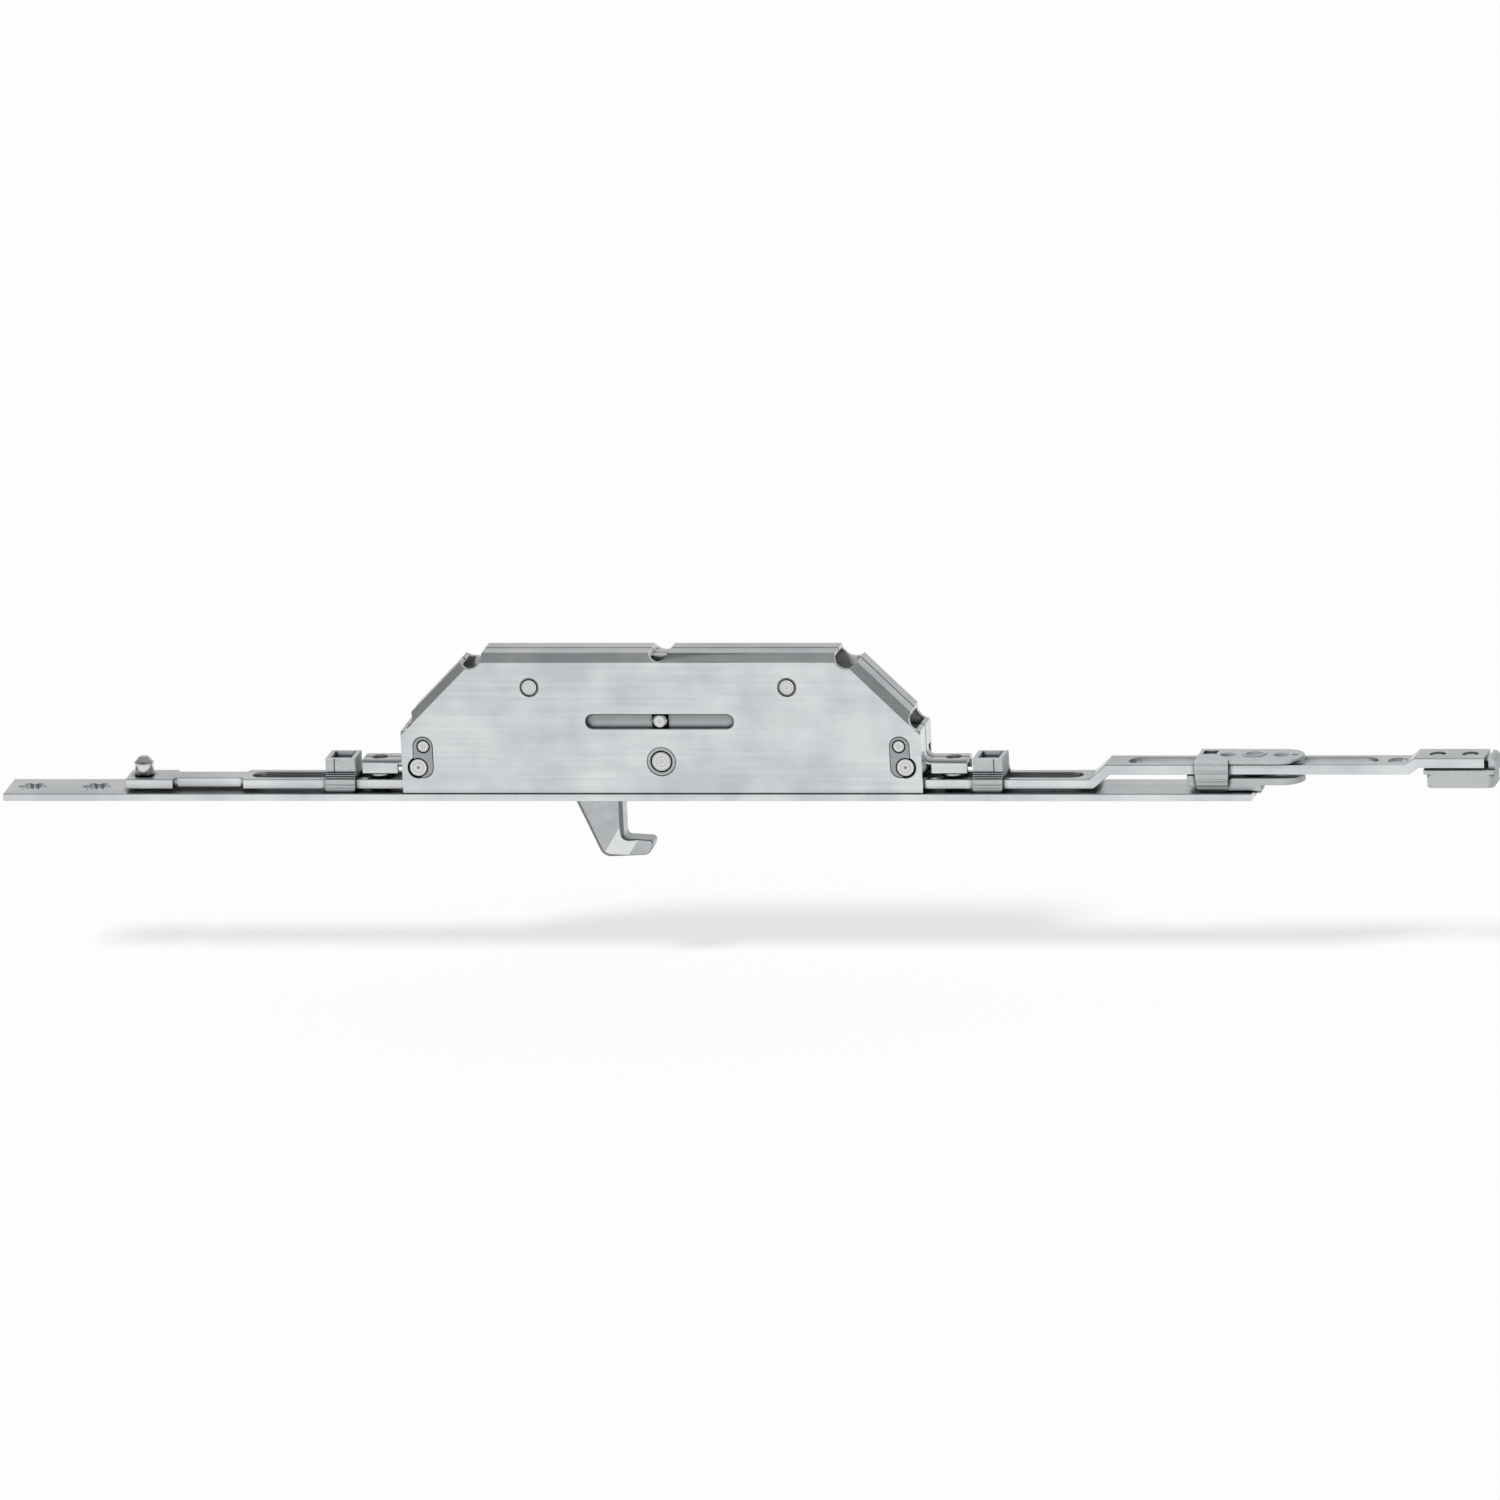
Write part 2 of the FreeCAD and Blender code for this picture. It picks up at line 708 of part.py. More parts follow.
def tie_sleeves():
    pieces = []
    for name, end in (("Left", -1), ("Right", 1)):
        body = new_body(name + "TieSleeve")
        outside = circles((end * d.tie_reach, tie_height, d.tie_head_dia + 2 * d.sleeve_wall))
        pad(body, body.Label + "Tube", "XZ_Plane", outside, -cavity_side, cavity_side)
        bore = circles((end * d.tie_reach, tie_height, d.tie_head_dia))
        pocket(body, body.Label + "Bore", "XZ_Plane", bore, -cavity_side, cavity_side)
        pieces.append(body)
    return compound("tie_sleeves", pieces)


def guide_block(label, end):
    """Die-cast block that guides a rod's edges and locks into the shells' keyholes."""
    body = new_body(label)
    low, high = sorted((end * block_inner, end * block_outer), key=lambda size: size.value)
    pad(body, "Block", "XZ_Plane", rectangle(low, high, 0, d.block_height), -cavity_side, cavity_side)
    boss = obround((end * key_x, d.key_low), (end * key_x, d.key_high), d.key_radius - d.boss_gap)
    pad(body, "NearBoss", "XZ_Plane", boss, -case_side, -cavity_side)
    pad(body, "FarBoss", "XZ_Plane", boss, cavity_side, case_side)
    passage = rectangle(-rod_passage, rod_passage, 0, rod_top + d.slide_gap)
    pocket(body, "RodPassage", "YZ_Plane", passage, low, high)
    holes = circles((end * key_bulge_x, d.key_bulge_z, d.large_pin_dia),
                    (end * small_pin_x, d.key_high, d.small_pin_dia))
    pocket(body, "PinHoles", "XZ_Plane", holes, -case_side, case_side)
    return body


def ear_posts():
    """Collared posts that stand on the faceplate in the rods' slots and carry the ears."""
    pieces = []
    for name, end in (("Left", -1), ("Right", 1)):
        body = new_body(name + "EarPost")
        x = end * screw_reach
        pad(body, body.Label + "Shank", "XY_Plane", circles((x, 0, d.post_dia)), 0, ear_bottom)
        collar = circles((x, 0, d.post_collar_dia))
        pad(body, body.Label + "Collar", "XY_Plane", collar, rod_top + d.slide_gap, d.ear_lip_bottom)
        bore = circles((x, 0, d.screw_hole_dia))
        pocket(body, body.Label + "Bore", "XY_Plane", bore, 0, ear_bottom)
        pieces.append(body)
    return compound("ear_posts", pieces)


def pivot_bush():
    body = new_body("pivot_bush")
    outside = circles((0, d.pivot_height, d.bush_dia))
    pad(body, "BushTube", "XZ_Plane", outside, -case_side, case_side)
    bore = circles((0, d.pivot_height, d.pivot_pin_dia))
    pocket(body, "BushBore", "XZ_Plane", bore, -case_side, case_side)
    return body


def pivot_pin():
    body = new_body("pivot_pin")
    pin_across(body, "PivotPin", 0, d.pivot_height, d.pivot_pin_dia)
    return body


def hook_washers():
    """Spacers on the bush that keep the hook in the middle of the case."""
    pieces = []
    for name, side in (("Front", -1), ("Back", 1)):
        body = new_body(name + "HookWasher")
        depth = across(side, hook_half + d.slide_gap, cavity_side)
        pad(body, body.Label + "Disc", "XZ_Plane", circles((0, d.pivot_height, d.washer_dia)), *depth)
        pocket(body, body.Label + "Bore", "XZ_Plane", circles((0, d.pivot_height, d.bush_dia)), *depth)
        pieces.append(body)
    return compound("hook_washers", pieces)


def clip_side():
    """Half of a clip's section, from its crown down the outside: grip grooves, flare and two steps."""
    top, skirt = d.clip_top_width / 2, d.clip_skirt_width / 2
    pitch = (d.clip_flare_top - d.clip_flare_bottom) / d.clip_grooves
    flare = (skirt - d.clip_step - top) / d.clip_grooves
    corners = [(top, d.clip_top)]
    for groove in range(SIZES["clip_grooves"]):
        out, high = top + flare * groove, d.clip_flare_top - pitch * groove
        corners.append((out, high))
        corners.append((out - d.clip_groove_depth, high - pitch / 2))
    corners.append((skirt - d.clip_step, d.clip_flare_bottom))
    corners.append((skirt - d.clip_step, d.clip_upper_step))
    corners.append((skirt - d.clip_step / 2, d.clip_upper_step))
    corners.append((skirt - d.clip_step / 2, d.clip_lower_step))
    corners.append((skirt, d.clip_lower_step))
    corners.append((skirt, 0))
    return corners


def rod_clip(label, end):
    """Plastic bridge over a rod, with skirts down to the faceplate on both sides."""
    body = new_body(label)
    low = end * clip_x - d.clip_length / 2
    high = end * clip_x + d.clip_length / 2
    top, skirt = d.clip_top_width / 2, d.clip_skirt_width / 2
    far = clip_side()
    near = [(-y, z) for y, z in reversed(far)]
    inside = [(-rod_passage, 0), (-rod_passage, clip_roof), (rod_passage, clip_roof), (rod_passage, 0)]
    bridge = pad(body, "Bridge", "YZ_Plane", polygon(*far, *reversed(inside), *near), low, high)
    feet = edges_along(bridge, "y", [(low, 0), (high, 0)])
    rounded = dress(body, "Fillet", "FootCorners", bridge, feet, d.clip_corner)
    crown = edges_along(rounded, "x", [(-top, d.clip_top), (top, d.clip_top)])
    dress(body, "Fillet", "CrownEdges", rounded, crown, d.clip_corner / 2)
    seam_start = end * clip_x + end * d.clip_seam
    seam_ends = sorted((seam_start, seam_start + end * d.clip_seam_width), key=lambda size: size.value)
    for side in (-1, 1):
        groove = rectangle(*across(side, top - d.clip_seam_depth, skirt), d.clip_flare_top, d.clip_top)
        pocket(body, "Seam" + ("Near" if side < 0 else "Far"), "YZ_Plane", groove, *seam_ends)
    half, wide = d.clip_pocket / 2, d.clip_pocket_width / 2
    recess = rectangle(end * clip_x - half, end * clip_x + half, -wide, wide)
    pocket(body, "TopPocket", "XY_Plane", recess, d.clip_top - d.clip_pocket_deep, d.clip_top)
    pad(body, "Stem", "XY_Plane", circles((end * clip_x, 0, d.post_dia)), 0, clip_roof)
    hole = circles((end * clip_x, 0, d.clip_rivet_dia))
    pocket(body, "RivetHole", "XY_Plane", hole, 0, d.clip_top)
    return body


def clip_rivets():
    pieces = []
    for name, end in (("Left", -1), ("Right", 1)):
        body = new_body(name + "ClipRivet")
        shank = circles((end * clip_x, 0, d.clip_rivet_dia))
        pad(body, body.Label + "Shank", "XY_Plane", shank, -d.plate_thick, d.clip_top - d.clip_pocket_deep)
        pieces.append(body)
    return compound("clip_rivets", pieces)


def end_guide():
    """Plastic guide on the faceplate's right end: a bellied clamp round the rod and two arms."""
    body = new_body("end_guide")
    side, arm = d.guide_width / 2, d.guide_arm_width / 2
    waist, hem = side - d.guide_belly, side - 2 * d.guide_belly
    far = [(waist - d.guide_belly, d.guide_top), (waist, d.guide_crown_low), (side, d.guide_belly_high),
           (side, d.guide_belly_low), (waist, d.guide_hem_high), (hem, d.guide_hem_high),
           (hem, d.guide_hem_low), (hem - d.guide_belly, 0)]
    near = [(-y, z) for y, z in reversed(far)]
    pad(body, "Clamp", "YZ_Plane", polygon(*far, *near), guide_start, guide_body_end)
    foot_start, foot_end = guide_start + d.guide_draft, guide_body_end - d.guide_draft
    start_draft = polygon((guide_start, 0), (foot_start, 0), (guide_start, d.guide_belly_high))
    end_draft = polygon((foot_end, 0), (guide_body_end, 0), (guide_body_end, d.guide_belly_high))
    pocket(body, "StartDraft", "XZ_Plane", start_draft, -side, side)
    clamp = pocket(body, "EndDraft", "XZ_Plane", end_draft, -side, side)
    feet = edges_along(clamp, "y", [(foot_start, 0), (foot_end, 0)])
    dress(body, "Fillet", "FootCorners", clamp, feet, d.guide_foot_round)
    reach = guide_end - arm
    root_x = guide_body_end - d.guide_arm_lap
    for name, low, high in (("UpperArm", guide_roof, d.guide_top),
                            ("LowerArm", d.guide_thin_bottom, d.guide_lower_top)):
        pad(body, name, "XY_Plane", rectangle(root_x, reach, -arm, arm), low, high)
        pad(body, name + "Nose", "XY_Plane", circles((reach, 0, 2 * arm)), low, high)
    thick = rectangle(root_x, guide_start + d.guide_thick_length, -arm, arm)
    pad(body, "ThickArm", "XY_Plane", thick, d.guide_lower_bottom, d.guide_thin_bottom)
    lug = rectangle(plate_right, plate_right + d.guide_lug, -d.guide_lug_width / 2, d.guide_lug_width / 2)
    pad(body, "EndLug", "XY_Plane", lug, -d.plate_thick / 2, d.guide_lower_bottom)
    stub = rectangle(guide_start - d.guide_stub, guide_start + d.guide_arm_lap, -rod_passage, rod_passage)
    pad(body, "EntryStub", "XY_Plane", stub, d.guide_stub_bottom, raised_bottom - d.slide_gap)
    passage = rectangle(-rod_passage, rod_passage, d.guide_lower_top, guide_roof)
    pocket(body, "RodPassage", "YZ_Plane", passage, guide_start, guide_body_end)
    bush = circles((guide_bush_x, 0, d.guide_bush_dia))
    pad(body, "ScrewBush", "XY_Plane", bush, d.guide_lower_top, guide_roof)
    socket = circles((guide_bush_x, 0, d.guide_socket_dia))
    pocket(body, "Socket", "XY_Plane", socket, d.guide_thin_bottom, d.guide_top)
    holes = circles((guide_bush_x - d.guide_near_pitch, 0, d.guide_hole_dia),
                    (guide_bush_x + d.guide_pip_pitch, 0, d.guide_pip_dia))
    pocket(body, "ArmHoles", "XY_Plane", holes, guide_roof, d.guide_top)
    screw_hole = circles((guide_bush_x + d.guide_far_pitch, 0, d.guide_hole_dia))
    pocket(body, "ScrewHole", "XY_Plane", screw_hole, d.guide_thin_bottom, d.guide_top)
    recess_x = guide_start + d.guide_pocket_start
    recess = rectangle(recess_x, recess_x + d.guide_pocket_length,
                       d.guide_pocket_side, d.guide_pocket_side + d.guide_pocket_width)
    pocket(body, "CrownPocket", "XY_Plane", recess, d.guide_top - d.guide_pocket_deep, d.guide_top)
    return body


def flat_slot(outer, inner):
    """The long slot of a rod between two ends on the X axis, round at both."""
    radius = d.rod_slot_width / 2
    first, last = sorted((outer, inner), key=lambda size: size.value)
    return obround((first + radius, 0), (last - radius, 0), radius)


def left_drive_rod():
    body = new_body("left_drive_rod")
    waist = rod_half - d.waist_depth
    near = [(-left_rod_outer, -rod_half), (-waist_outer, -rod_half), (-waist_outer, -waist),
            (-waist_inner, -waist), (-waist_inner, -rod_half), (-left_rod_inner, -rod_half)]
    far = [(x, -y) for x, y in reversed(near)]
    strip = pad(body, "Strip", "XY_Plane", polygon(*near, *far), d.rod_lift, rod_top)
    corners = [(-x, y) for x in (waist_outer, waist_inner) for y in (-waist, waist)]
    dress(body, "Fillet", "WaistCorners", strip, edges_along(strip, "z", corners), d.waist_depth / 2)
    pocket(body, "LongSlot", "XY_Plane", flat_slot(-rod_slot_outer, -rod_slot_inner), d.rod_lift, rod_top)
    hole = circles((-coupling_pin_x, 0, d.pin_shank_dia))
    pocket(body, "PinHole", "XY_Plane", hole, d.rod_lift, rod_top)
    foot_holes(body, -foot_rivet_left)
    return body


def square(x, y, size):
    return rectangle(x - size / 2, x + size / 2, y - size / 2, y + size / 2)


def foot_holes(body, x):
    """Two square holes for the rivets that hold the drive plates' feet."""
    for name, side in (("Near", -1), ("Far", 1)):
        hole = square(x, side * d.foot_rivet_side, d.foot_rivet_size)
        pocket(body, name + "FootHole", "XY_Plane", hole, d.rod_lift, rod_top)


def right_drive_rod():
    """A strip with two upward jogs, bent from one thickness."""
    body = new_body("right_drive_rod")
    under = [(right_rod_inner, d.rod_lift), (first_jog, d.rod_lift), (first_jog_end, raised_bottom),
             (second_jog, raised_bottom), (second_jog_end, end_bottom), (right_rod_outer, end_bottom)]
    over = [(right_rod_outer, end_top), (second_jog_end - d.jog_shift, end_top),
            (second_jog - d.jog_shift, raised_top), (first_jog_end - d.jog_shift, raised_top),
            (first_jog - d.jog_shift, rod_top), (right_rod_inner, rod_top)]
    strip = pad(body, "BentStrip", "XZ_Plane", polygon(*under, *over), -rod_half, rod_half)
    bends = under[1:5] + over[1:5]
    dress(body, "Fillet", "Bends", strip, edges_along(strip, "y", bends), d.jog_round)
    pocket(body, "LongSlot", "XY_Plane", flat_slot(rod_slot_inner, rod_slot_outer), d.rod_lift, rod_top)
    raised_slot = flat_slot(raised_slot_start, raised_slot_end)
    pocket(body, "RaisedSlot", "XY_Plane", raised_slot, raised_bottom, raised_top)
    coupling = circles((coupling_hole_x, 0, coupling_hole_dia))
    pocket(body, "CouplingHole", "XY_Plane", coupling, raised_bottom, raised_top)
    pegs = circles((first_peg, 0, d.peg_dia), (second_peg, 0, d.peg_dia))
    pocket(body, "PegHoles", "XY_Plane", pegs, end_bottom, end_top)
    foot_holes(body, foot_rivet_right)
    return body


def coupling_pin():
    """Round pin riveted into the left rod, with a coned tip to find its hole."""
    body = new_body("coupling_pin")
    shank, head = d.pin_shank_dia / 2, d.coupling_pin_dia / 2
    straight = rod_top + d.coupling_pin_straight
    revolve(body, "Turned", -coupling_pin_x,
            [(0, d.rod_lift), (shank, d.rod_lift), (shank, rod_top), (head, rod_top), (head, straight),
             (d.coupling_pin_tip_dia / 2, straight + d.coupling_pin_cone),
             (0, straight + d.coupling_pin_cone)])
    return body


def drive_plate(label, side):
    """Plate beside the hook that joins both rods and carries the drive pin in a slot."""
    body = new_body(label)
    plate = across(side, drive_side - d.drive_plate_thick, drive_side)
    left, right = -foot_left, foot_right_end
    outline = polygon((left, rod_top), (left + d.foot_width, rod_top), (left + d.foot_width, bar_low),
                      (foot_right, bar_low), (foot_right, rod_top), (right, rod_top),
                      (right, bar_high), (left, bar_high))
    blank = pad(body, "Plate", "XZ_Plane", outline, *plate)
    inner = edges_along(blank, "y", [(left + d.foot_width, bar_low), (foot_right, bar_low)])
    throat = dress(body, "Fillet", "LegCorners", blank, inner, d.foot_thick)
    outer = edges_along(throat, "y", [(left, bar_high), (right, bar_high)])
    dress(body, "Fillet", "BarCorners", throat, outer, d.foot_thick)
    foot_depth = across(side, d.foot_inner, drive_side)
    y = side * d.foot_rivet_side
    foot_top = rod_top + d.foot_thick
    for name, start, end, rivet in (("LeftFoot", left, left + d.foot_width, -foot_rivet_left),
                                    ("RightFoot", foot_right, right, foot_rivet_right)):
        pad(body, name, "XY_Plane", rectangle(start, end, *foot_depth), rod_top, foot_top)
        pocket(body, name + "Hole", "XY_Plane", square(rivet, y, d.foot_rivet_size), rod_top, foot_top)
    half = d.slot_width / 2 + d.cross_slot_gap
    low, high = d.slot_height - d.cross_slot_reach, d.slot_height + d.cross_slot_reach
    pocket(body, "CrossSlot", "XZ_Plane", obround((0, low), (0, high), half), *plate)
    return body


def foot_rivets():
    """Square rivets, which can't turn, through the drive plates' feet and the rods."""
    pieces = []
    for name, x in (("Left", -foot_rivet_left), ("Right", foot_rivet_right)):
        for place_name, side in (("Front", -1), ("Back", 1)):
            body = new_body(name + place_name + "FootRivet")
            shank = square(x, side * d.foot_rivet_side, d.foot_rivet_size)
            pad(body, body.Label + "Shank", "XY_Plane", shank, d.rod_lift, rod_top + d.foot_thick)
            pieces.append(body)
    return compound("foot_rivets", pieces)


def drive_pin():
    body = new_body("drive_pin")
    pad(body, "Pin", "XZ_Plane", circles((0, d.slot_height, drive_pin_dia)), -case_side, case_side)
    return body


def end_shoe():
    """Plastic shoe under the right rod's end, held by two pegs in the rod."""
    body = new_body("end_shoe")
    block_start = shoe_start + d.shoe_block_inset
    block_end = shoe_end - d.shoe_block_inset / 2
    block = rectangle(block_start, block_end, -rod_half, rod_half)
    sole = pad(body, "Block", "XY_Plane", block, d.shoe_bottom, d.shoe_flange_bottom)
    corners = [(x, y) for x in (block_start, block_end) for y in (-rod_half, rod_half)]
    dress(body, "Fillet", "BlockCorners", sole, edges_along(sole, "z", corners), d.shoe_corner)
    plate = rectangle(shoe_start, shoe_end, -rod_half, rod_half)
    flange = pad(body, "Flange", "XY_Plane", plate, d.shoe_flange_bottom, d.shoe_flange_top)
    corners = [(x, y) for x in (shoe_start, shoe_end) for y in (-rod_half, rod_half)]
    dress(body, "Fillet", "FlangeCorners", flange, edges_along(flange, "z", corners), d.shoe_flange_corner)
    neck_half = rod_half - d.shoe_neck_inset
    neck = rectangle(shoe_start + d.shoe_neck_inset, right_rod_outer, -neck_half, neck_half)
    pad(body, "Neck", "XY_Plane", neck, d.shoe_flange_top, end_bottom)
    wall_half = rod_half - d.shoe_flange_corner
    wall = rectangle(shoe_wall_start, shoe_end, -wall_half, wall_half)
    back = pad(body, "EndWall", "XY_Plane", wall, d.shoe_flange_bottom, end_top)
    edges = edges_along(back, "y", [(shoe_end, end_top)])
    dress(body, "Fillet", "EndWallCrown", back, edges, d.shoe_corner)
    pegs = circles((first_peg, 0, d.peg_dia), (second_peg, 0, d.peg_dia))
    pad(body, "Pegs", "XY_Plane", pegs, end_bottom, end_top - d.peg_recess)
    return body


def pin_track(half_width):
    """Outline a half width to each side of the drive pin's path in the hook.

    The rods push the pin along a straight line and the hook turns in step with it, so the path
    is the involute of the circle whose radius is the pin's height over the pivot.
    """
    radius = lever.value
    swing = d.stroke.value / radius
    pivot = Vector(0, 0, d.pivot_height.value)
    width = as_length(half_width).value

    def beside(angle, offset):
        out = Vector(math.cos(angle), 0, math.sin(angle))
        rim = Vector(-math.sin(angle), 0, math.cos(angle)) * radius
        return pivot + rim + out * (angle * radius + offset)

    def side_curve(start, offset):
        steps = 8
        points = [beside(start + (swing - start) * step / steps, offset) for step in range(steps + 1)]
        curve = Part.BSplineCurve()
        curve.interpolate(points)
        return curve.toShape()
    inner_start = width / radius
    inner, outer = side_curve(inner_start, -width), side_curve(0, width)
    below = pivot + Vector(0, 0, radius - width)
    root_cap = Part.Arc(beside(inner_start, -width), below, beside(0, width)).toShape()
    ahead = beside(swing, 0) + Vector(-math.sin(swing), 0, math.cos(swing)) * width
    end_cap = Part.Arc(beside(swing, -width), ahead, beside(swing, width)).toShape()
    return Part.Wire(Part.__sortEdges__([inner, end_cap, outer, root_cap]))


def track_solid(name, half_width, half_depth):
    outline = Part.Face(pin_track(half_width))
    outline.translate(Vector(0, -as_length(half_depth).value, 0))
    feature = doc.addObject("Part::Feature", name)
    feature.Shape = outline.extrude(Vector(0, 2 * as_length(half_depth).value, 0))
    return feature


def hook_blade():
    """The hooked blade and the hub that turns on the bush."""
    body = new_body("HookBlade")
    inner, hub_low = -d.hook_inner_edge, d.pivot_height - d.hook_hub_radius
    inside_hub = d.hook_hub_radius - d.hook_hub_lap
    diagonal = inside_hub * math.sqrt(0.5)
    throat, tip = (inner, -d.hook_throat_z), (-d.hook_tip_x, -d.hook_tip_z)
    toe, heel = (-d.hook_toe_x, -d.hook_toe_z), (-d.hook_heel_x, -d.hook_heel_z)
    back, shoulder = (-d.hook_back_x, 0), (-d.hook_shoulder_x, d.hook_shoulder_z)
    neck = (inner, hub_low)
    outline = polygon(throat, tip, toe, heel, back, shoulder, (-diagonal, d.pivot_height + diagonal),
                      (0, d.pivot_height), (0, d.pivot_height - inside_hub), neck)
    pad(body, "Blade", "XZ_Plane", outline, -hook_half, hook_half)
    hub = circles((0, d.pivot_height, 2 * d.hook_hub_radius))
    pad(body, "Hub", "XZ_Plane", hub, -hook_half, hook_half)
    arm_neck = rectangle(-d.hook_neck_width / 2, d.hook_neck_width / 2, d.pivot_height, d.slot_height)
    pad(body, "ArmNeck", "XZ_Plane", arm_neck, -hook_half, hook_half)
    bore = circles((0, d.pivot_height, d.bush_dia + 2 * d.running_gap))
    feature = pocket(body, "PivotBore", "XZ_Plane", bore, -hook_half, hook_half)
    for name, spot, size in (("Throat", throat, d.hook_throat_round), ("Tip", tip, d.hook_tip_round),
                             ("Toe", toe, d.hook_toe_round), ("Heel", heel, d.hook_heel_round),
                             ("Back", back, d.hook_back_round)):
        feature = dress(body, "Fillet", name + "Round", feature, edges_along(feature, "y", [spot]), size)

    def on_blade_face(start, end):
        flat = min(abs(start.y), abs(end.y)) > hook_half.value - 1e-6 and start.y * end.y > 0
        return flat and min(start.z, end.z) < -d.plate_thick.value
    dress(body, "Chamfer", "BladeEdges", feature, edges_where(feature, on_blade_face), d.hook_edge)
    return body


def tip_taper(name, side):
    """What is ground off one face of the blade: a slope that ends in an even, thinner tip."""
    top = Vector(-d.taper_top_x.value, 0, -d.taper_top_z.value)
    bottom = Vector(-d.taper_bottom_x.value, 0, -d.taper_bottom_z.value)
    along = (bottom - top).normalize()
    ahead = Vector(-along.z, 0, along.x)
    spare = d.thin_tip_length.value
    start = top - along * spare + Vector(0, side * hook_half.value, 0)
    knee = start + ahead * d.taper_length.value
    end = knee + ahead * spare
    deep = Vector(0, side * d.taper_depth.value, 0)
    section = Part.makePolygon([start, knee - deep, end - deep, end + deep, start + deep, start])
    feature = doc.addObject("Part::Feature", name)
    feature.Shape = Part.Face(section).extrude(along * (bottom - top).Length + along * 2 * spare)
    return feature


def hook():
    """The tapered blade joined with its upper arm, which holds the pin's curved slot."""
    slot_half = drive_pin_dia / 2 + d.arm_slot_gap
    blade = hook_blade()
    for name, side in (("NearTaper", -1), ("FarTaper", 1)):
        ground = doc.addObject("Part::Cut", "Ground" + name)
        ground.Base = blade
        ground.Tool = tip_taper(name, side)
        blade = ground
    joined = doc.addObject("Part::Fuse", "HookBlank")
    joined.Base = blade
    joined.Tool = track_solid("HookArm", slot_half + d.arm_wall, hook_half)
    cut = doc.addObject("Part::Cut", "hook")
    cut.Label = "hook"
    cut.Base = joined
    cut.Tool = track_solid("PinSlot", slot_half, case_side)
    return cut


def back_case_shell():
    body = case_shell("back_case_shell", 1)
    seam_tongue(body)
    return body


nodes = [
    faceplate(),
    case_shell("front_case_shell", -1),
    back_case_shell(),
    guide_block("left_guide_block", -1),
    guide_block("right_guide_block", 1),
    pin_pair("large_guide_pins", key_bulge_x, d.key_bulge_z, d.large_pin_dia),
    pin_pair("small_guide_pins", small_pin_x, d.key_high, d.small_pin_dia),
    pin_pair("tie_rivets", d.tie_reach, tie_height, d.tie_head_dia),
    tie_sleeves(),
    ear_posts(),
    pivot_bush(),
    pivot_pin(),
    hook_washers(),
    rod_clip("left_rod_clip", -1),
    rod_clip("right_rod_clip", 1),
    clip_rivets(),
    end_guide(),
    left_drive_rod(),
    right_drive_rod(),
    coupling_pin(),
    drive_plate("front_drive_plate", -1),
    drive_plate("back_drive_plate", 1),
    foot_rivets(),
    drive_pin(),
    end_shoe(),
    hook(),
]
doc.recompute()

failed = [thing.Name for thing in doc.Objects if {"Invalid", "Error"} & set(thing.State)]
if failed:
    raise RuntimeError("Objects that did not build: " + ", ".join(failed))
for node in nodes:
    if node.Shape.isNull() or not node.Shape.isValid():
        raise RuntimeError(node.Label + " has no sound shape")

os.makedirs("parts", exist_ok=True)
for node in nodes:
    node.Shape.exportStep("parts/%s.step" % node.Label)
    solids = node.Shape.Solids
    print("%-20s %2d %10.1f mm3" % (node.Label, len(solids), sum(solid.Volume for solid in solids)))
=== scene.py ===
import bmesh
import bpy
import math
from mathutils import Matrix, Vector


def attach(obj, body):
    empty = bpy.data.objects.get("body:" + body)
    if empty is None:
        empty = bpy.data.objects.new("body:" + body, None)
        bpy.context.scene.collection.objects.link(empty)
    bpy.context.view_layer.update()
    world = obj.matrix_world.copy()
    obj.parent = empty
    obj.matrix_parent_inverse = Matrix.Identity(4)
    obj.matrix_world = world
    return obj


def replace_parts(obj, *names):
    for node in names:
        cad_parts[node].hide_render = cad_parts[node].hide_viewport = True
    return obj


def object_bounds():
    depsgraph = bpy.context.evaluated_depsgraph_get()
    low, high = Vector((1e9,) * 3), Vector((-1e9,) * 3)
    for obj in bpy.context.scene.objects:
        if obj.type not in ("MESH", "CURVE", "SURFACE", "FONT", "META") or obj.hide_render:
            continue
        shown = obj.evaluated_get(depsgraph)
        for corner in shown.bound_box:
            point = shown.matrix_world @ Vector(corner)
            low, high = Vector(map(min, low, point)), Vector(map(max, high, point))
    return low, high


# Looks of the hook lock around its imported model, in the model's frame: X runs along the faceplate,
# -Y is the near side, Z stands up from the faceplate into the case. Lengths are in metres, but in
# millimetres where the name ends in MM.

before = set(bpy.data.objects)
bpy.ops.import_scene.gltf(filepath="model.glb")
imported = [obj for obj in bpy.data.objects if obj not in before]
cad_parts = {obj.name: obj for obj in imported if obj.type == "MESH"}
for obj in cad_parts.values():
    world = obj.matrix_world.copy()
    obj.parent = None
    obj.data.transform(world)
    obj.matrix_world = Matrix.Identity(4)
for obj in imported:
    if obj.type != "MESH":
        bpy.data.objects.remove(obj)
cad_box = [list(corner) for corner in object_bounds()]
MM = 0.001

# Camera, read from the drawing: far away, so that parallel edges stay parallel
CAMERA_AZIMUTH_DEG = 11.17
CAMERA_ELEVATION_DEG = 14.09
CAMERA_ROLL_DEG = -2.75
CAMERA_AIM_MM = (22.7, -0.9, 10.2)
VIEW_WIDTH_MM = 396.8
SENSOR_WIDTH_MM = 36.0
CAMERA_DISTANCE = 14.0

# Floor and light
FLOOR_DROP_MM = 30.0
FLOOR_HALF = 3.0
FLOOR_GLOW = 0.6
PAPER_WHITE = "f6f6f4"
WORLD_LIGHT = 0.5
SUN_STRENGTH = 2.2
SUN_WIDTH_DEG = 14
SUN_TILT_DEG = 38
SUN_TURN_DEG = -35

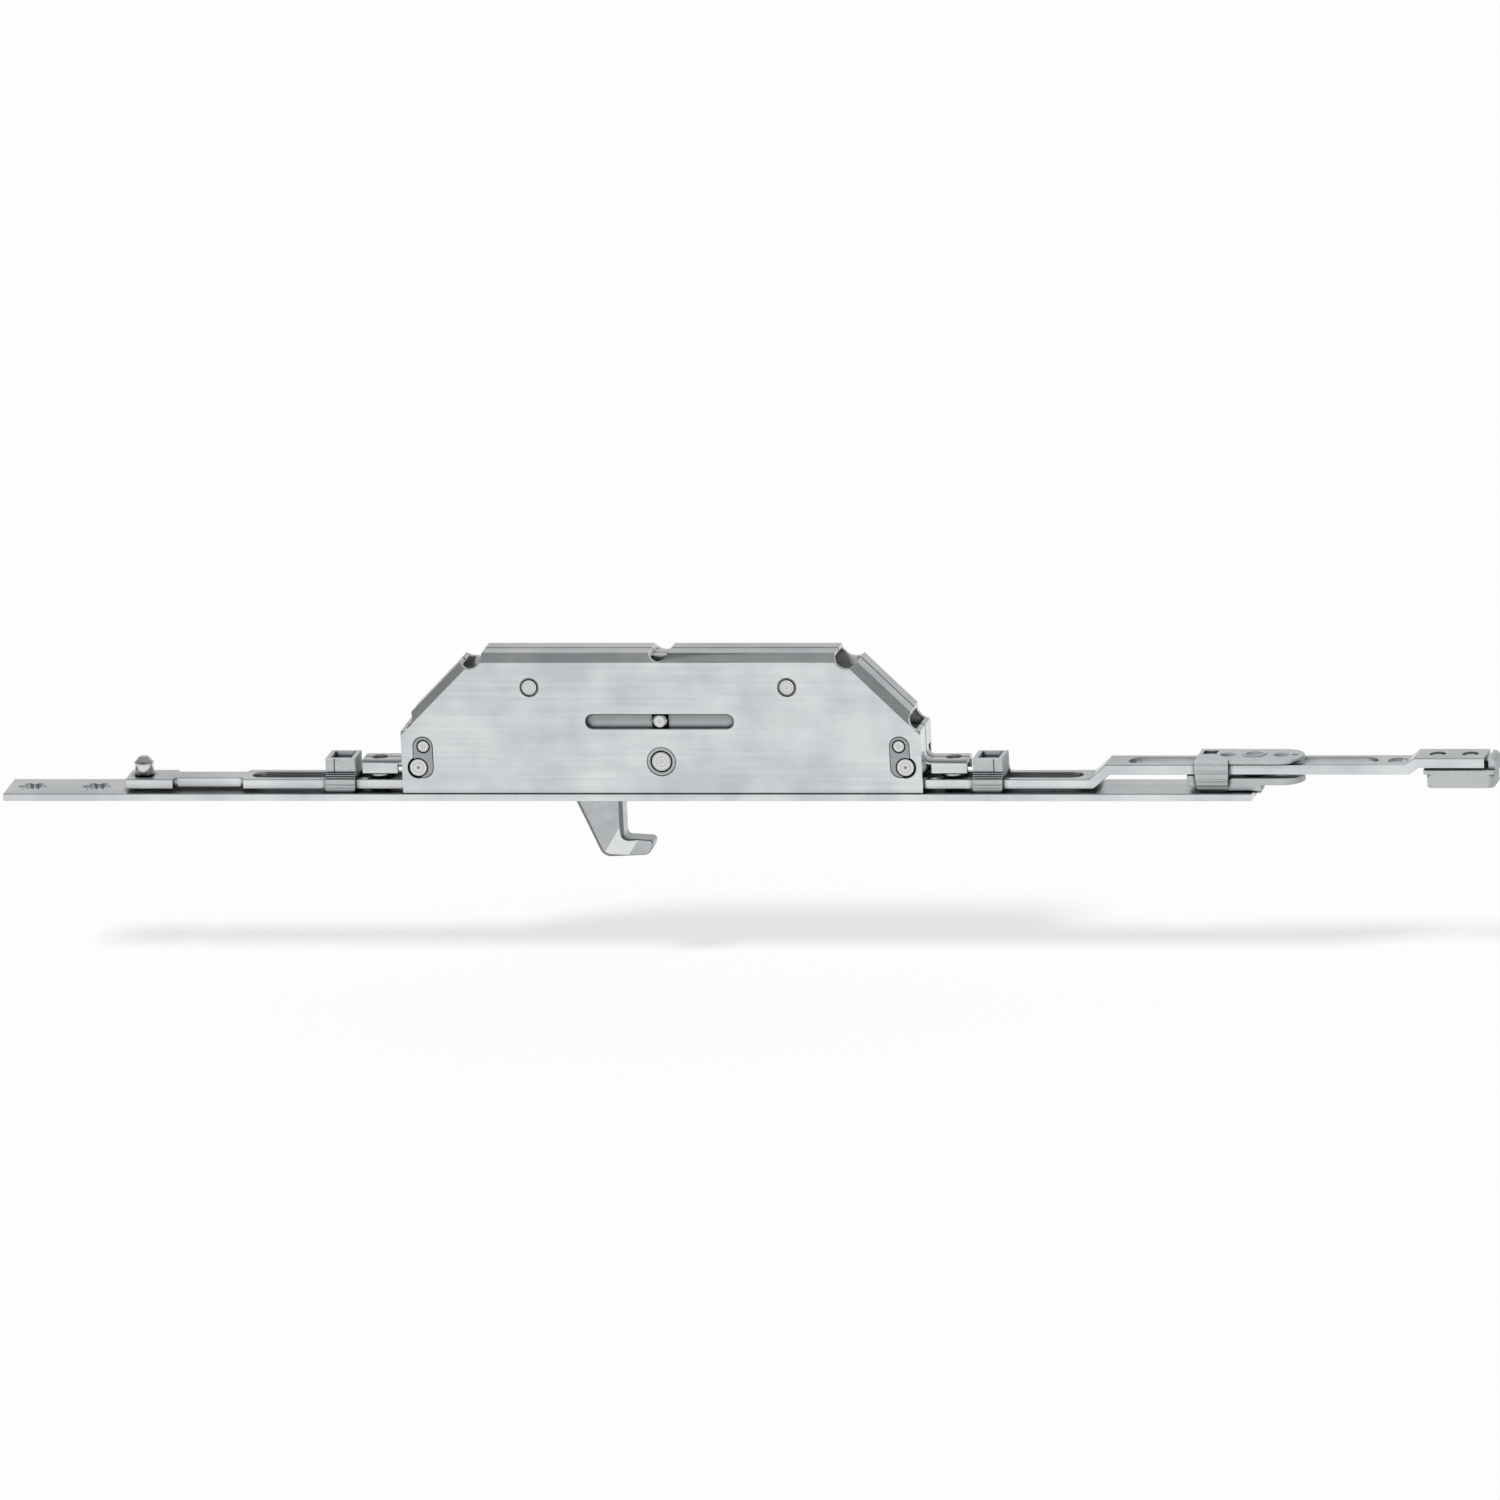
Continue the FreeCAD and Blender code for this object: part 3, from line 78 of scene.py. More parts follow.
# Colours of the finishes, and of painted shade and a painted highlight
ZINC_BRIGHT = "e2e5e7"
# Painted shade for corners, gaps and the case's seam
ZINC_CLOUDY = "cdd1d4"
ZINC_PAINTED_SHADE = "4e5255"
GREASE_PALE = "dcddde"
PHOSPHATE_LIGHT = "bfc3c5"
PHOSPHATE_DARK = "a3a8aa"
HOOK_LIGHT = "cfd2d4"
HOOK_DARK = "b2b6b9"
# Painted shade on the hook's chamfers, and a painted highlight on its tip's slope
HOOK_CHAMFER_SHADE = "7b7f82"
HOOK_SLOPE_HIGHLIGHT = "e9ebec"
RIVET_LIGHT = "dfe0e0"
RIVET_DARK = "c8cacb"
CAST_LIGHT = "c4c8ca"
CAST_DARK = "a4a9ac"
NYLON_LIGHT = "b9bdbf"
NYLON_DARK = "a8adaf"
NYLON_FIBRE = "c6c9ca"
# Painted shade for the nylon's corners and grooves
NYLON_PAINTED_SHADE = "3b3f41"

# Sizes of their patterns in millimetres; one that runs one way is given along X, Y and Z
ZINC_CLOUD_MM = 14
SHEET_GRAIN_MM = (30.0, 0.8, 0.8)
STRIP_GRAIN_MM = (90.0, 0.6, 0.6)
SEAM_MM = 0.5
PHOSPHATE_STAIN_MM = 9
PHOSPHATE_CRYSTAL_MM = 0.5
HOOK_HAZE_MM = 6
HOOK_SCRATCH_MM = (6.0, 0.5, 0.5)
HOOK_SCRATCH_DEG = (35, -50)
RING_PITCH_MM = 0.9
CAST_FLOW_MM = 5
CAST_PEBBLE_MM = 0.7
NYLON_FLOW_MM = 4
NYLON_STREAK_MM = (1.6, 0.35, 0.35)
NYLON_SPARK_MM = 0.45

# The case reaches this far along X to either side of the pivot, and along Y from its middle
CASE_REACH_MM = 69.0
CASE_SIDE_MM = 7.6

# How far the hook's chamfers, and the ground slope at its tip, lean from the blade's faces
HOOK_CHAMFER_DEG = 45
HOOK_SLOPE_DEG = 7.33

# Places of pins along X from the pivot, and over the faceplate
TIE_PLACE_MM = (34.7, 29.0)
LARGE_PIN_PLACE_MM = (65.6, 7.1)
SMALL_PIN_PLACE_MM = (64.05, 12.85)
PIVOT_PLACE_MM = (0, 8.74)
DRIVE_PLACE_MM = (0, 19.67)
POST_REACH_MM = 77.3
CLIP_REACH_MM = 87.2
COUPLING_PIN_REACH_MM = 141.2

# Pins across the case: piece, node that it replaces, body, finish, place, and the profile of
# either end in millimetres, as radius and height over the case's face
PINS = (
    ("spun_tie_rivets", "tie_rivets", "case", "tie_rivets", TIE_PLACE_MM,
     ((0, 0), (1.9, 0), (2.1, -0.45), (2.5, -0.45))),
    ("centred_guide_pins", "large_guide_pins", "case", "large_pins", LARGE_PIN_PLACE_MM,
     ((0, -0.4), (0.3, 0), (2.25, 0), (2.6, -0.45))),
    ("plain_guide_pins", "small_guide_pins", "case", "small_pins", SMALL_PIN_PLACE_MM,
     ((0, 0), (1.45, 0), (1.8, -0.45))),
    ("chamfered_pivot_pin", "pivot_pin", "case", "pivot_pin", PIVOT_PLACE_MM,
     ((0, 0), (2.5, 0), (2.9, -0.5))),
    ("chamfered_drive_pin", "drive_pin", "drive", "drive_pin", DRIVE_PLACE_MM,
     ((0, 0), (1.55, 0), (1.95, -0.45))),
)

# Rim round the end guide's socket: its place, and its section as radius and height over that
SOCKET_PLACE_MM = (158.2, 0.0, 8.8)
SOCKET_RIM_MM = ((2.25, -0.3), (2.3, 0.15), (2.45, 0.3), (2.8, 0.3), (3.0, 0.1), (3.0, -0.3),
                 (2.25, -0.3))

# Raised lines on the end guide's sides: piece, radius, length, place along Y to either side, height
GUIDE_BEADS_MM = (
    ("crown_bead", 0.2, 8.6, 6.25, 7.5),
    ("belly_bead", 0.32, 8.4, 6.55, 5.5),
    ("foot_bead", 0.32, 7.9, 6.55, 3.36),
)
GUIDE_BEADS_FROM_MM = 143.3
GUIDE_BEADS_SPAN_MM = 8.6
# Rounded end of a bead, as a share of its radius and millimetres along it
BEAD_TIP = ((0, 0), (0.8, 0.1), (1, 0.3))

# Turned pieces: steps round one, the fold from which an edge looks sharp, and how near two points
# are one
TURN_STEPS = 48
TURNED_SHARP_DEG = 25
TURNED_MERGE = 1e-7

# Spots too tight for a rounded edge, each as two corners in |X|, |Y| and Z that hold the middles of
# its edges: the shells' notch, the long folds that meet in it, their ear bends and relief openings,
# the rod's raised slot, and narrow steps of the small parts
SHELL_TIGHT_MM = (((0, 0, 32), (6, 8, 39)), ((20, 7.2, 35), (28, 8, 36.4)),
                  ((68.6, 2, 2), (71.4, 8, 13.5)), ((65.5, 0, 15.5), (70.5, 8, 21.5)))
ROD_TIGHT_MM = (((197.5, 0, 5), (201, 5.3, 9)),)
BLOCK_TIGHT_MM = (((63.5, 7, 3), (66.5, 8, 7)), ((61, 5, 4), (63.5, 7, 16)))
CLIP_TIGHT_MM = (((82.5, 0, 2), (84.5, 7, 5.5)), ((90, 0, 2), (92, 7, 5.5)),
                 ((87.5, 4, 4.5), (90.5, 6, 9.5)))
GUIDE_TIGHT_MM = (((150, 4.5, -1.5), (153.5, 7, 4)),)
SHOE_TIGHT_MM = (((221, 0, 3), (224, 6, 10)), ((203, 4, 3), (207, 6, 6)))

# Rounded edges: width in millimetres, tight spots that stay sharp, and nodes
ROUNDED = (
    (0.2, SHELL_TIGHT_MM, ("front_case_shell", "back_case_shell")),
    (0.2, ROD_TIGHT_MM, ("right_drive_rod",)),
    (0.2, (), ("faceplate", "left_drive_rod", "coupling_pin")),
    (0.3, (), ("pivot_bush",)),
    (0.08, (), ("hook",)),
    (0.12, BLOCK_TIGHT_MM, ("left_guide_block", "right_guide_block")),
    (0.08, CLIP_TIGHT_MM, ("left_rod_clip", "right_rod_clip")),
    (0.12, GUIDE_TIGHT_MM, ("end_guide",)),
    (0.2, SHOE_TIGHT_MM, ("end_shoe",)),
    (0.12, (), ("clip_rivets", "ear_posts", "tie_sleeves", "front_drive_plate",
                "back_drive_plate", "hook_washers", "foot_rivets")),
)
# Edges with a sharper fold than this are rounded, once near points are one and flat faces whole
SHARP_DEG = 35
FLAT_DEG = 0.5
WELD_MERGE = 1e-6


def linear(hex_colour):
    """A hex sRGB colour as the linear colour that shaders take."""
    channels = [int(hex_colour[start:start + 2], 16) / 255 for start in (0, 2, 4)]
    return (*[c / 12.92 if c <= 0.04045 else ((c + 0.055) / 1.055) ** 2.4 for c in channels], 1.0)


def add(tree, kind, inputs=None, **settings):
    """Add a node with its settings, its values and the sockets that feed it."""
    made = tree.nodes.new(kind)
    for name, value in settings.items():
        setattr(made, name, value)
    for name, value in (inputs or {}).items():
        if isinstance(value, bpy.types.NodeSocket):
            tree.links.new(value, made.inputs[name])
        else:
            made.inputs[name].default_value = value
    return made


def new_material(name, **values):
    """A material with its shader, whose even values sit on the shader's own sockets."""
    material = bpy.data.materials.new(name)
    material.use_nodes = True
    tree = material.node_tree
    shader = tree.nodes["Principled BSDF"]
    for socket, value in values.items():
        shader.inputs[socket.replace("_", " ")].default_value = value
    return material, tree, shader


def paint_crevice_shade(tree, shader, colour, shade_colour, reach_mm, shaded_below=0.55):
    """Give the shader its colour, with painted shade that darkens it in corners, grooves and gaps,
    as far as ambient occlusion finds them enclosed.
    """
    openness = add(tree, "ShaderNodeAmbientOcclusion", {"Distance": reach_mm * MM}, samples=8)
    unshaded = add(tree, "ShaderNodeMapRange", {
        "Value": openness.outputs["AO"], "From Min": shaded_below, "From Max": 0.95,
    })
    shaded = add(tree, "ShaderNodeMix", {
        "Factor": unshaded.outputs["Result"], "A": linear(shade_colour), "B": colour,
    }, data_type="RGBA")
    tree.links.new(shaded.outputs["Result"], shader.inputs["Base Color"])


def streaks(tree, place, size_mm, detail):
    """A grain or scratches of the given size along each axis."""
    stretch = [1 / (size * MM) for size in size_mm]
    stretched = add(tree, "ShaderNodeVectorMath", {0: place, 1: stretch}, operation="MULTIPLY")
    noise = add(tree, "ShaderNodeTexNoise", {
        "Vector": stretched.outputs[0], "Scale": 1.0, "Detail": detail,
    })
    return noise.outputs["Fac"]


def texture(tree, shader, pattern, roughness, depth_mm, shown=(0.0, 1.0)):
    """Give the shader a roughness and a relief that follow one pattern."""
    rough = add(tree, "ShaderNodeMapRange", {
        "Value": pattern, "From Min": shown[0], "From Max": shown[1],
        "To Min": roughness[0], "To Max": roughness[1],
    })
    tree.links.new(rough.outputs["Result"], shader.inputs["Roughness"])
    relief = add(tree, "ShaderNodeBump", {"Height": pattern, "Distance": depth_mm * MM})
    tree.links.new(relief.outputs["Normal"], shader.inputs["Normal"])


def case_half(tree, shader, place, colour, seam_mm):
    """A case half's colour: a painted shadow with oil along the seam, and dull with pale grease on
    its inner faces.
    """
    # A painted shadow line, with oil and dust, runs along the seam where the two shells meet,
    # halfway through the case, and fades out over the last of its width
    split = add(tree, "ShaderNodeSeparateXYZ", {"Vector": place})
    aside = add(tree, "ShaderNodeMath", {0: split.outputs["Y"]}, operation="ABSOLUTE")
    clear = add(tree, "ShaderNodeMapRange", {
        "Value": aside.outputs[0], "From Min": 0.6 * seam_mm * MM, "From Max": seam_mm * MM,
    })
    seam_shaded = add(tree, "ShaderNodeMix", {
        "Factor": clear.outputs["Result"], "A": linear(ZINC_PAINTED_SHADE), "B": colour,
    }, data_type="RGBA")
    # A face away from the seam whose normal points back to the seam's plane lies inside the case
    facing = add(tree, "ShaderNodeNewGeometry").outputs["True Normal"]
    sideways = add(tree, "ShaderNodeSeparateXYZ", {"Vector": facing})
    outwards = add(tree, "ShaderNodeMath", {
        0: split.outputs["Y"], 1: sideways.outputs["Y"],
    }, operation="MULTIPLY")
    inwards = add(tree, "ShaderNodeMath", {
        0: outwards.outputs[0], 1: -seam_mm * MM,
    }, operation="LESS_THAN")
    along = add(tree, "ShaderNodeMath", {0: split.outputs["X"]}, operation="ABSOLUTE")
    in_case = add(tree, "ShaderNodeMath", {
        0: along.outputs[0], 1: CASE_REACH_MM * MM,
    }, operation="LESS_THAN")
    inside = add(tree, "ShaderNodeMath", {
        0: inwards.outputs[0], 1: in_case.outputs[0],
    }, operation="MULTIPLY")
    greased = add(tree, "ShaderNodeMix", {
        "Factor": inside.outputs[0], "A": seam_shaded.outputs["Result"], "B": linear(GREASE_PALE),
    }, data_type="RGBA")
    bare = add(tree, "ShaderNodeMapRange", {
        "Value": inside.outputs[0], "To Min": 1.0, "To Max": 0.1,
    })
    tree.links.new(bare.outputs["Result"], shader.inputs["Metallic"])
    return greased.outputs["Result"]


def zinc_plated_steel(name, grain_mm, grain_depth_mm, roughness, seam_mm=0):
    """Cold-rolled steel under bright zinc: silvery, softly clouded, with the mill's long grain.

    A sheet with a seam is a case half.
    """
    material, tree, shader = new_material(name, Metallic=1.0)
    place = add(tree, "ShaderNodeTexCoord").outputs["Object"]
    clouds = add(tree, "ShaderNodeTexNoise", {
        "Vector": place, "Scale": 1 / (ZINC_CLOUD_MM * MM), "Detail": 5.0,
    })
    mottle = add(tree, "ShaderNodeMapRange", {
        "Value": clouds.outputs["Fac"], "From Min": 0.35, "From Max": 0.65,
    })
    colour = add(tree, "ShaderNodeMix", {
        "Factor": mottle.outputs["Result"], "A": linear(ZINC_BRIGHT), "B": linear(ZINC_CLOUDY),
    }, data_type="RGBA").outputs["Result"]
    if seam_mm:
        colour = case_half(tree, shader, place, colour, seam_mm)
    # Painted shade in corners, grooves and gaps
    paint_crevice_shade(tree, shader, colour, ZINC_PAINTED_SHADE, reach_mm=1.6)
    # Real grain is about 0.02 mm wide, too fine to show, so it is drawn coarser
    grain = streaks(tree, place, grain_mm, detail=3.0)
    texture(tree, shader, grain, roughness, grain_depth_mm, shown=(0.3, 0.7))
    return material


def phosphated_steel():
    """Zinc-phosphated and oiled plate: matt mid-grey with fine crystals and darker oil stains."""
    material, tree, shader = new_material("phosphated_oiled_steel", Metallic=0.4)
    place = add(tree, "ShaderNodeTexCoord").outputs["Object"]
    stains = add(tree, "ShaderNodeTexNoise", {
        "Vector": place, "Scale": 1 / (PHOSPHATE_STAIN_MM * MM), "Detail": 6.0,
    })
    colour = add(tree, "ShaderNodeMix", {
        "Factor": stains.outputs["Fac"], "A": linear(PHOSPHATE_LIGHT), "B": linear(PHOSPHATE_DARK),
    }, data_type="RGBA").outputs["Result"]
    # Painted shade in corners, grooves and gaps
    paint_crevice_shade(tree, shader, colour, ZINC_PAINTED_SHADE, reach_mm=1.2)
    # Phosphate crystals are about 0.02 mm wide; here they are 0.5 mm wide
    crystals = add(tree, "ShaderNodeTexVoronoi", {
        "Vector": place, "Scale": 1 / (PHOSPHATE_CRYSTAL_MM * MM),
    })
    texture(tree, shader, crystals.outputs["Distance"], roughness=(0.4, 0.6), depth_mm=0.01)
    return material


def tumbled_hook_steel():
    """Hardened, tumbled steel: satin, fine scratches both ways, painted shade on the chamfers, a
    painted highlight on the tip's slope.
    """
    material, tree, shader = new_material("tumbled_hook_steel", Metallic=1.0)
    place = add(tree, "ShaderNodeTexCoord").outputs["Object"]
    haze = add(tree, "ShaderNodeTexNoise", {
        "Vector": place, "Scale": 1 / (HOOK_HAZE_MM * MM), "Detail": 6.0,
    })
    # The chamfers and the tip's slope lean from the blade's faces, however the hook swings
    facing = add(tree, "ShaderNodeNewGeometry").outputs["True Normal"]
    split = add(tree, "ShaderNodeSeparateXYZ", {"Vector": facing})
    squareness = add(tree, "ShaderNodeMath", {0: split.outputs["Y"]}, operation="ABSOLUTE")
    colour = add(tree, "ShaderNodeMix", {
        "Factor": haze.outputs["Fac"], "A": linear(HOOK_LIGHT), "B": linear(HOOK_DARK),
    }, data_type="RGBA").outputs["Result"]
    # The chamfers get painted shade and the tip's slope a painted highlight, so that they part from
    # the blade's faces
    for lean_deg, spread, tone in ((HOOK_CHAMFER_DEG, 0.15, HOOK_CHAMFER_SHADE),
                                   (HOOK_SLOPE_DEG, 0.005, HOOK_SLOPE_HIGHLIGHT)):
        leaning = add(tree, "ShaderNodeMath", {
            0: squareness.outputs[0], 1: math.cos(math.radians(lean_deg)), 2: spread,
        }, operation="COMPARE")
        colour = add(tree, "ShaderNodeMix", {
            "Factor": leaning.outputs[0], "A": colour, "B": linear(tone),
        }, data_type="RGBA").outputs["Result"]
    # Painted shade in corners, grooves and gaps
    paint_crevice_shade(tree, shader, colour, ZINC_PAINTED_SHADE, reach_mm=1.4)
    # Tumbling scratches are about 0.05 mm wide and 3 mm long; here they are 0.5 by 6 mm
    marks = []
    for turn_deg in HOOK_SCRATCH_DEG:
        leant = add(tree, "ShaderNodeVectorRotate", {
            "Vector": place, "Angle": math.radians(turn_deg),
        }, rotation_type="Y_AXIS")
        marks.append(streaks(tree, leant.outputs[0], HOOK_SCRATCH_MM, detail=2.0))
    scratches = add(tree, "ShaderNodeMath", {0: marks[0], 1: marks[1]}, operation="MAXIMUM")
    texture(tree, shader, scratches.outputs[0], roughness=(0.3, 0.46), depth_mm=0.02,
            shown=(0.45, 0.75))
    return material


def turned_rivet_steel(name, reach_mm, height_mm, axis):
    """Bright turned steel: rings round the pin's axis, from the tool and the riveting spin."""
    material, tree, shader = new_material("turned_steel_" + name, Metallic=1.0)
    place = add(tree, "ShaderNodeTexCoord").outputs["Object"]
    split = add(tree, "ShaderNodeSeparateXYZ", {"Vector": place})
    either_end = add(tree, "ShaderNodeMath", {0: split.outputs["X"]}, operation="ABSOLUTE")
    mirrored = add(tree, "ShaderNodeCombineXYZ", {
        "X": either_end.outputs[0], "Y": split.outputs["Y"], "Z": split.outputs["Z"],
    })
    centred = add(tree, "ShaderNodeVectorMath", {
        0: mirrored.outputs[0], 1: (reach_mm * MM, 0, height_mm * MM),
    }, operation="SUBTRACT")
    # Turning marks 0.05 mm apart would not show, so these rings stand 0.9 mm apart. The texture
    # makes 20 / tau rings per metre at a scale of 1
    rings = add(tree, "ShaderNodeTexWave", {
        "Vector": centred.outputs[0], "Scale": math.tau / (20 * RING_PITCH_MM * MM),
        "Distortion": 0.4,
    }, wave_type="RINGS", rings_direction=axis)
    colour = add(tree, "ShaderNodeMix", {
        "Factor": rings.outputs["Fac"], "A": linear(RIVET_LIGHT), "B": linear(RIVET_DARK),
    }, data_type="RGBA").outputs["Result"]
    # Painted shade in corners, grooves and gaps
    paint_crevice_shade(tree, shader, colour, ZINC_PAINTED_SHADE, reach_mm=0.9)
    texture(tree, shader, rings.outputs["Fac"], roughness=(0.22, 0.3), depth_mm=0.006)
    return material


def die_cast_zinc():
    """Zinc die casting, left as cast: dull grey with flow marks and a faintly pebbled skin."""
    material, tree, shader = new_material("die_cast_zinc", Metallic=1.0)
    place = add(tree, "ShaderNodeTexCoord").outputs["Object"]
    flow = add(tree, "ShaderNodeTexNoise", {
        "Vector": place, "Scale": 1 / (CAST_FLOW_MM * MM), "Detail": 5.0, "Distortion": 1.5,
    })
    colour = add(tree, "ShaderNodeMix", {
        "Factor": flow.outputs["Fac"], "A": linear(CAST_LIGHT), "B": linear(CAST_DARK),
    }, data_type="RGBA").outputs["Result"]
    # Painted shade in corners, grooves and gaps
    paint_crevice_shade(tree, shader, colour, ZINC_PAINTED_SHADE, reach_mm=1.0)
    skin = add(tree, "ShaderNodeTexNoise", {
        "Vector": place, "Scale": 1 / (CAST_PEBBLE_MM * MM), "Detail": 3.0,
    })
    texture(tree, shader, skin.outputs["Fac"], roughness=(0.38, 0.6), depth_mm=0.03)
    return material


def moulded_glass_nylon():
    """Glass-filled nylon from a spark-eroded mould: matt light grey, fibres under the skin."""
    material, tree, shader = new_material("moulded_glass_filled_nylon", IOR=1.53)
    place = add(tree, "ShaderNodeTexCoord").outputs["Object"]
    flow = add(tree, "ShaderNodeTexNoise", {
        "Vector": place, "Scale": 1 / (NYLON_FLOW_MM * MM), "Detail": 4.0, "Distortion": 0.8,
    })
    colour = add(tree, "ShaderNodeMix", {
        "Factor": flow.outputs["Fac"], "A": linear(NYLON_LIGHT), "B": linear(NYLON_DARK),
    }, data_type="RGBA").outputs["Result"]
    # Fibres are 0.01 mm thick and 0.3 mm long; the streaks here are 0.35 by 1.6 mm
    fibres = add(tree, "ShaderNodeMapRange", {
        "Value": streaks(tree, place, NYLON_STREAK_MM, detail=2.0),
        "From Min": 0.58, "From Max": 0.7, "To Max": 0.5,
    })
    colour = add(tree, "ShaderNodeMix", {
        "Factor": fibres.outputs["Result"], "A": colour, "B": linear(NYLON_FIBRE),
    }, data_type="RGBA").outputs["Result"]
    # Painted shade in corners, grooves and gaps
    paint_crevice_shade(tree, shader, colour, NYLON_PAINTED_SHADE, reach_mm=1.2, shaded_below=0.72)
    # The mould's sparks leave pits of about 0.1 mm; here they are 0.45 mm wide
    skin = add(tree, "ShaderNodeTexNoise", {
        "Vector": place, "Scale": 1 / (NYLON_SPARK_MM * MM), "Detail": 2.0,
    })
    texture(tree, shader, skin.outputs["Fac"], roughness=(0.42, 0.62), depth_mm=0.03)
    return material


def finish(material, *names):
    """Give model nodes their finish."""
    for name in names:
        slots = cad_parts[name].data.materials
        slots.clear()
        slots.append(material)


def roomy_sharp_edges(tight_mm):
    """A node group that marks the sharp edges for rounding, but none in the tight spots."""
    group = bpy.data.node_groups.new("roomy_sharp_edges", "GeometryNodeTree")
    for way in ("INPUT", "OUTPUT"):
        group.interface.new_socket("Mesh", in_out=way, socket_type="NodeSocketGeometry")
    given = add(group, "NodeGroupInput")
    fold = add(group, "GeometryNodeInputMeshEdgeAngle").outputs["Unsigned Angle"]
    chosen = add(group, "ShaderNodeMath", {
        0: fold, 1: math.radians(SHARP_DEG),
    }, operation="GREATER_THAN")
    place = add(group, "GeometryNodeInputPosition").outputs["Position"]
    mirrored = add(group, "ShaderNodeVectorMath", {0: place}, operation="ABSOLUTE")
    for low, high in tight_mm:
        middle = (Vector(low) + Vector(high)) / 2 * MM
        reach = (Vector(high) - Vector(low)) / 2 * MM
        aside = add(group, "ShaderNodeVectorMath", {
            0: mirrored.outputs[0], 1: middle,
        }, operation="SUBTRACT")
        distance = add(group, "ShaderNodeVectorMath", {0: aside.outputs[0]}, operation="ABSOLUTE")
        past = add(group, "ShaderNodeVectorMath", {
            0: distance.outputs[0], 1: reach,
        }, operation="SUBTRACT")
        split = add(group, "ShaderNodeSeparateXYZ", {"Vector": past.outputs[0]})
        most = add(group, "ShaderNodeMath", {
            0: split.outputs["X"], 1: split.outputs["Y"],
        }, operation="MAXIMUM")
        most = add(group, "ShaderNodeMath", {
            0: most.outputs[0], 1: split.outputs["Z"],
        }, operation="MAXIMUM")
        roomy = add(group, "ShaderNodeMath", {
            0: most.outputs[0], 1: 0.0,
        }, operation="GREATER_THAN")
        chosen = add(group, "ShaderNodeMath", {
            0: chosen.outputs[0], 1: roomy.outputs[0],
        }, operation="MULTIPLY")
    marked = add(group, "GeometryNodeStoreNamedAttribute", {
        "Geometry": given.outputs["Mesh"], "Name": "bevel_weight_edge",
        "Value": chosen.outputs[0],
    }, data_type="FLOAT", domain="EDGE")
    add(group, "NodeGroupOutput", {"Mesh": marked.outputs["Geometry"]})
    return group


def round_edges(width_mm, tight_mm, names):
    """Weld, dissolve and bevel nodes' meshes without touching their own points."""
    choice = roomy_sharp_edges(tight_mm)
    for name in names:
        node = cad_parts[name]
        weld = node.modifiers.new("Weld", "WELD")
        weld.merge_threshold = WELD_MERGE
        flat = node.modifiers.new("Flat", "DECIMATE")
        flat.decimate_type = "DISSOLVE"
        flat.angle_limit = math.radians(FLAT_DEG)
        node.modifiers.new("Choice", "NODES").node_group = choice
        bevel = node.modifiers.new("Edges", "BEVEL")
        bevel.width = width_mm * MM
        bevel.segments = 2
        bevel.limit_method = "WEIGHT"
        # One tight spot would clamp every edge of the piece, so those are left out instead
        bevel.use_clamp_overlap = False
        bevel.loop_slide = False
        bevel.harden_normals = True


def turned(name, places_mm, profile_mm, axis, body, material):
    """Pieces turned round an axis, from a profile of radius and place along that axis."""
    mesh = bmesh.new()
    along = Vector(axis)
    outwards = along.orthogonal().normalized()
    for place in places_mm:
        centre = Vector(place) * MM
        corners = [mesh.verts.new(centre + (outwards * radius + along * rise) * MM)
                   for radius, rise in profile_mm]
        edges = [mesh.edges.new(pair) for pair in zip(corners, corners[1:])]
        bmesh.ops.spin(mesh, geom=corners + edges, cent=centre, axis=along,
                       angle=math.tau, steps=TURN_STEPS, use_merge=True)
    bmesh.ops.remove_doubles(mesh, verts=mesh.verts, dist=TURNED_MERGE)
    bmesh.ops.recalc_face_normals(mesh, faces=mesh.faces)
    data = bpy.data.meshes.new(name)
    mesh.to_mesh(data)
    mesh.free()
    for polygon in data.polygons:
        polygon.use_smooth = True
    data.set_sharp_from_angle(angle=math.radians(TURNED_SHARP_DEG))
    data.materials.append(material)
    made = bpy.data.objects.new(name, data)
    bpy.context.scene.collection.objects.link(made)
    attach(made, body)
    return made


def turned_pins(name, places_mm, end_mm, body, material, node):
    """Pins across the case that replace a node's, with ends of radius and height over its face."""
    far_end = [(radius, CASE_SIDE_MM + rise) for radius, rise in reversed(end_mm)]
    profile = [(radius, -CASE_SIDE_MM - rise) for radius, rise in end_mm] + far_end
    places = [(x, 0, z) for x, z in places_mm]
    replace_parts(turned(name, places, profile, (0, 1, 0), body, material), node)


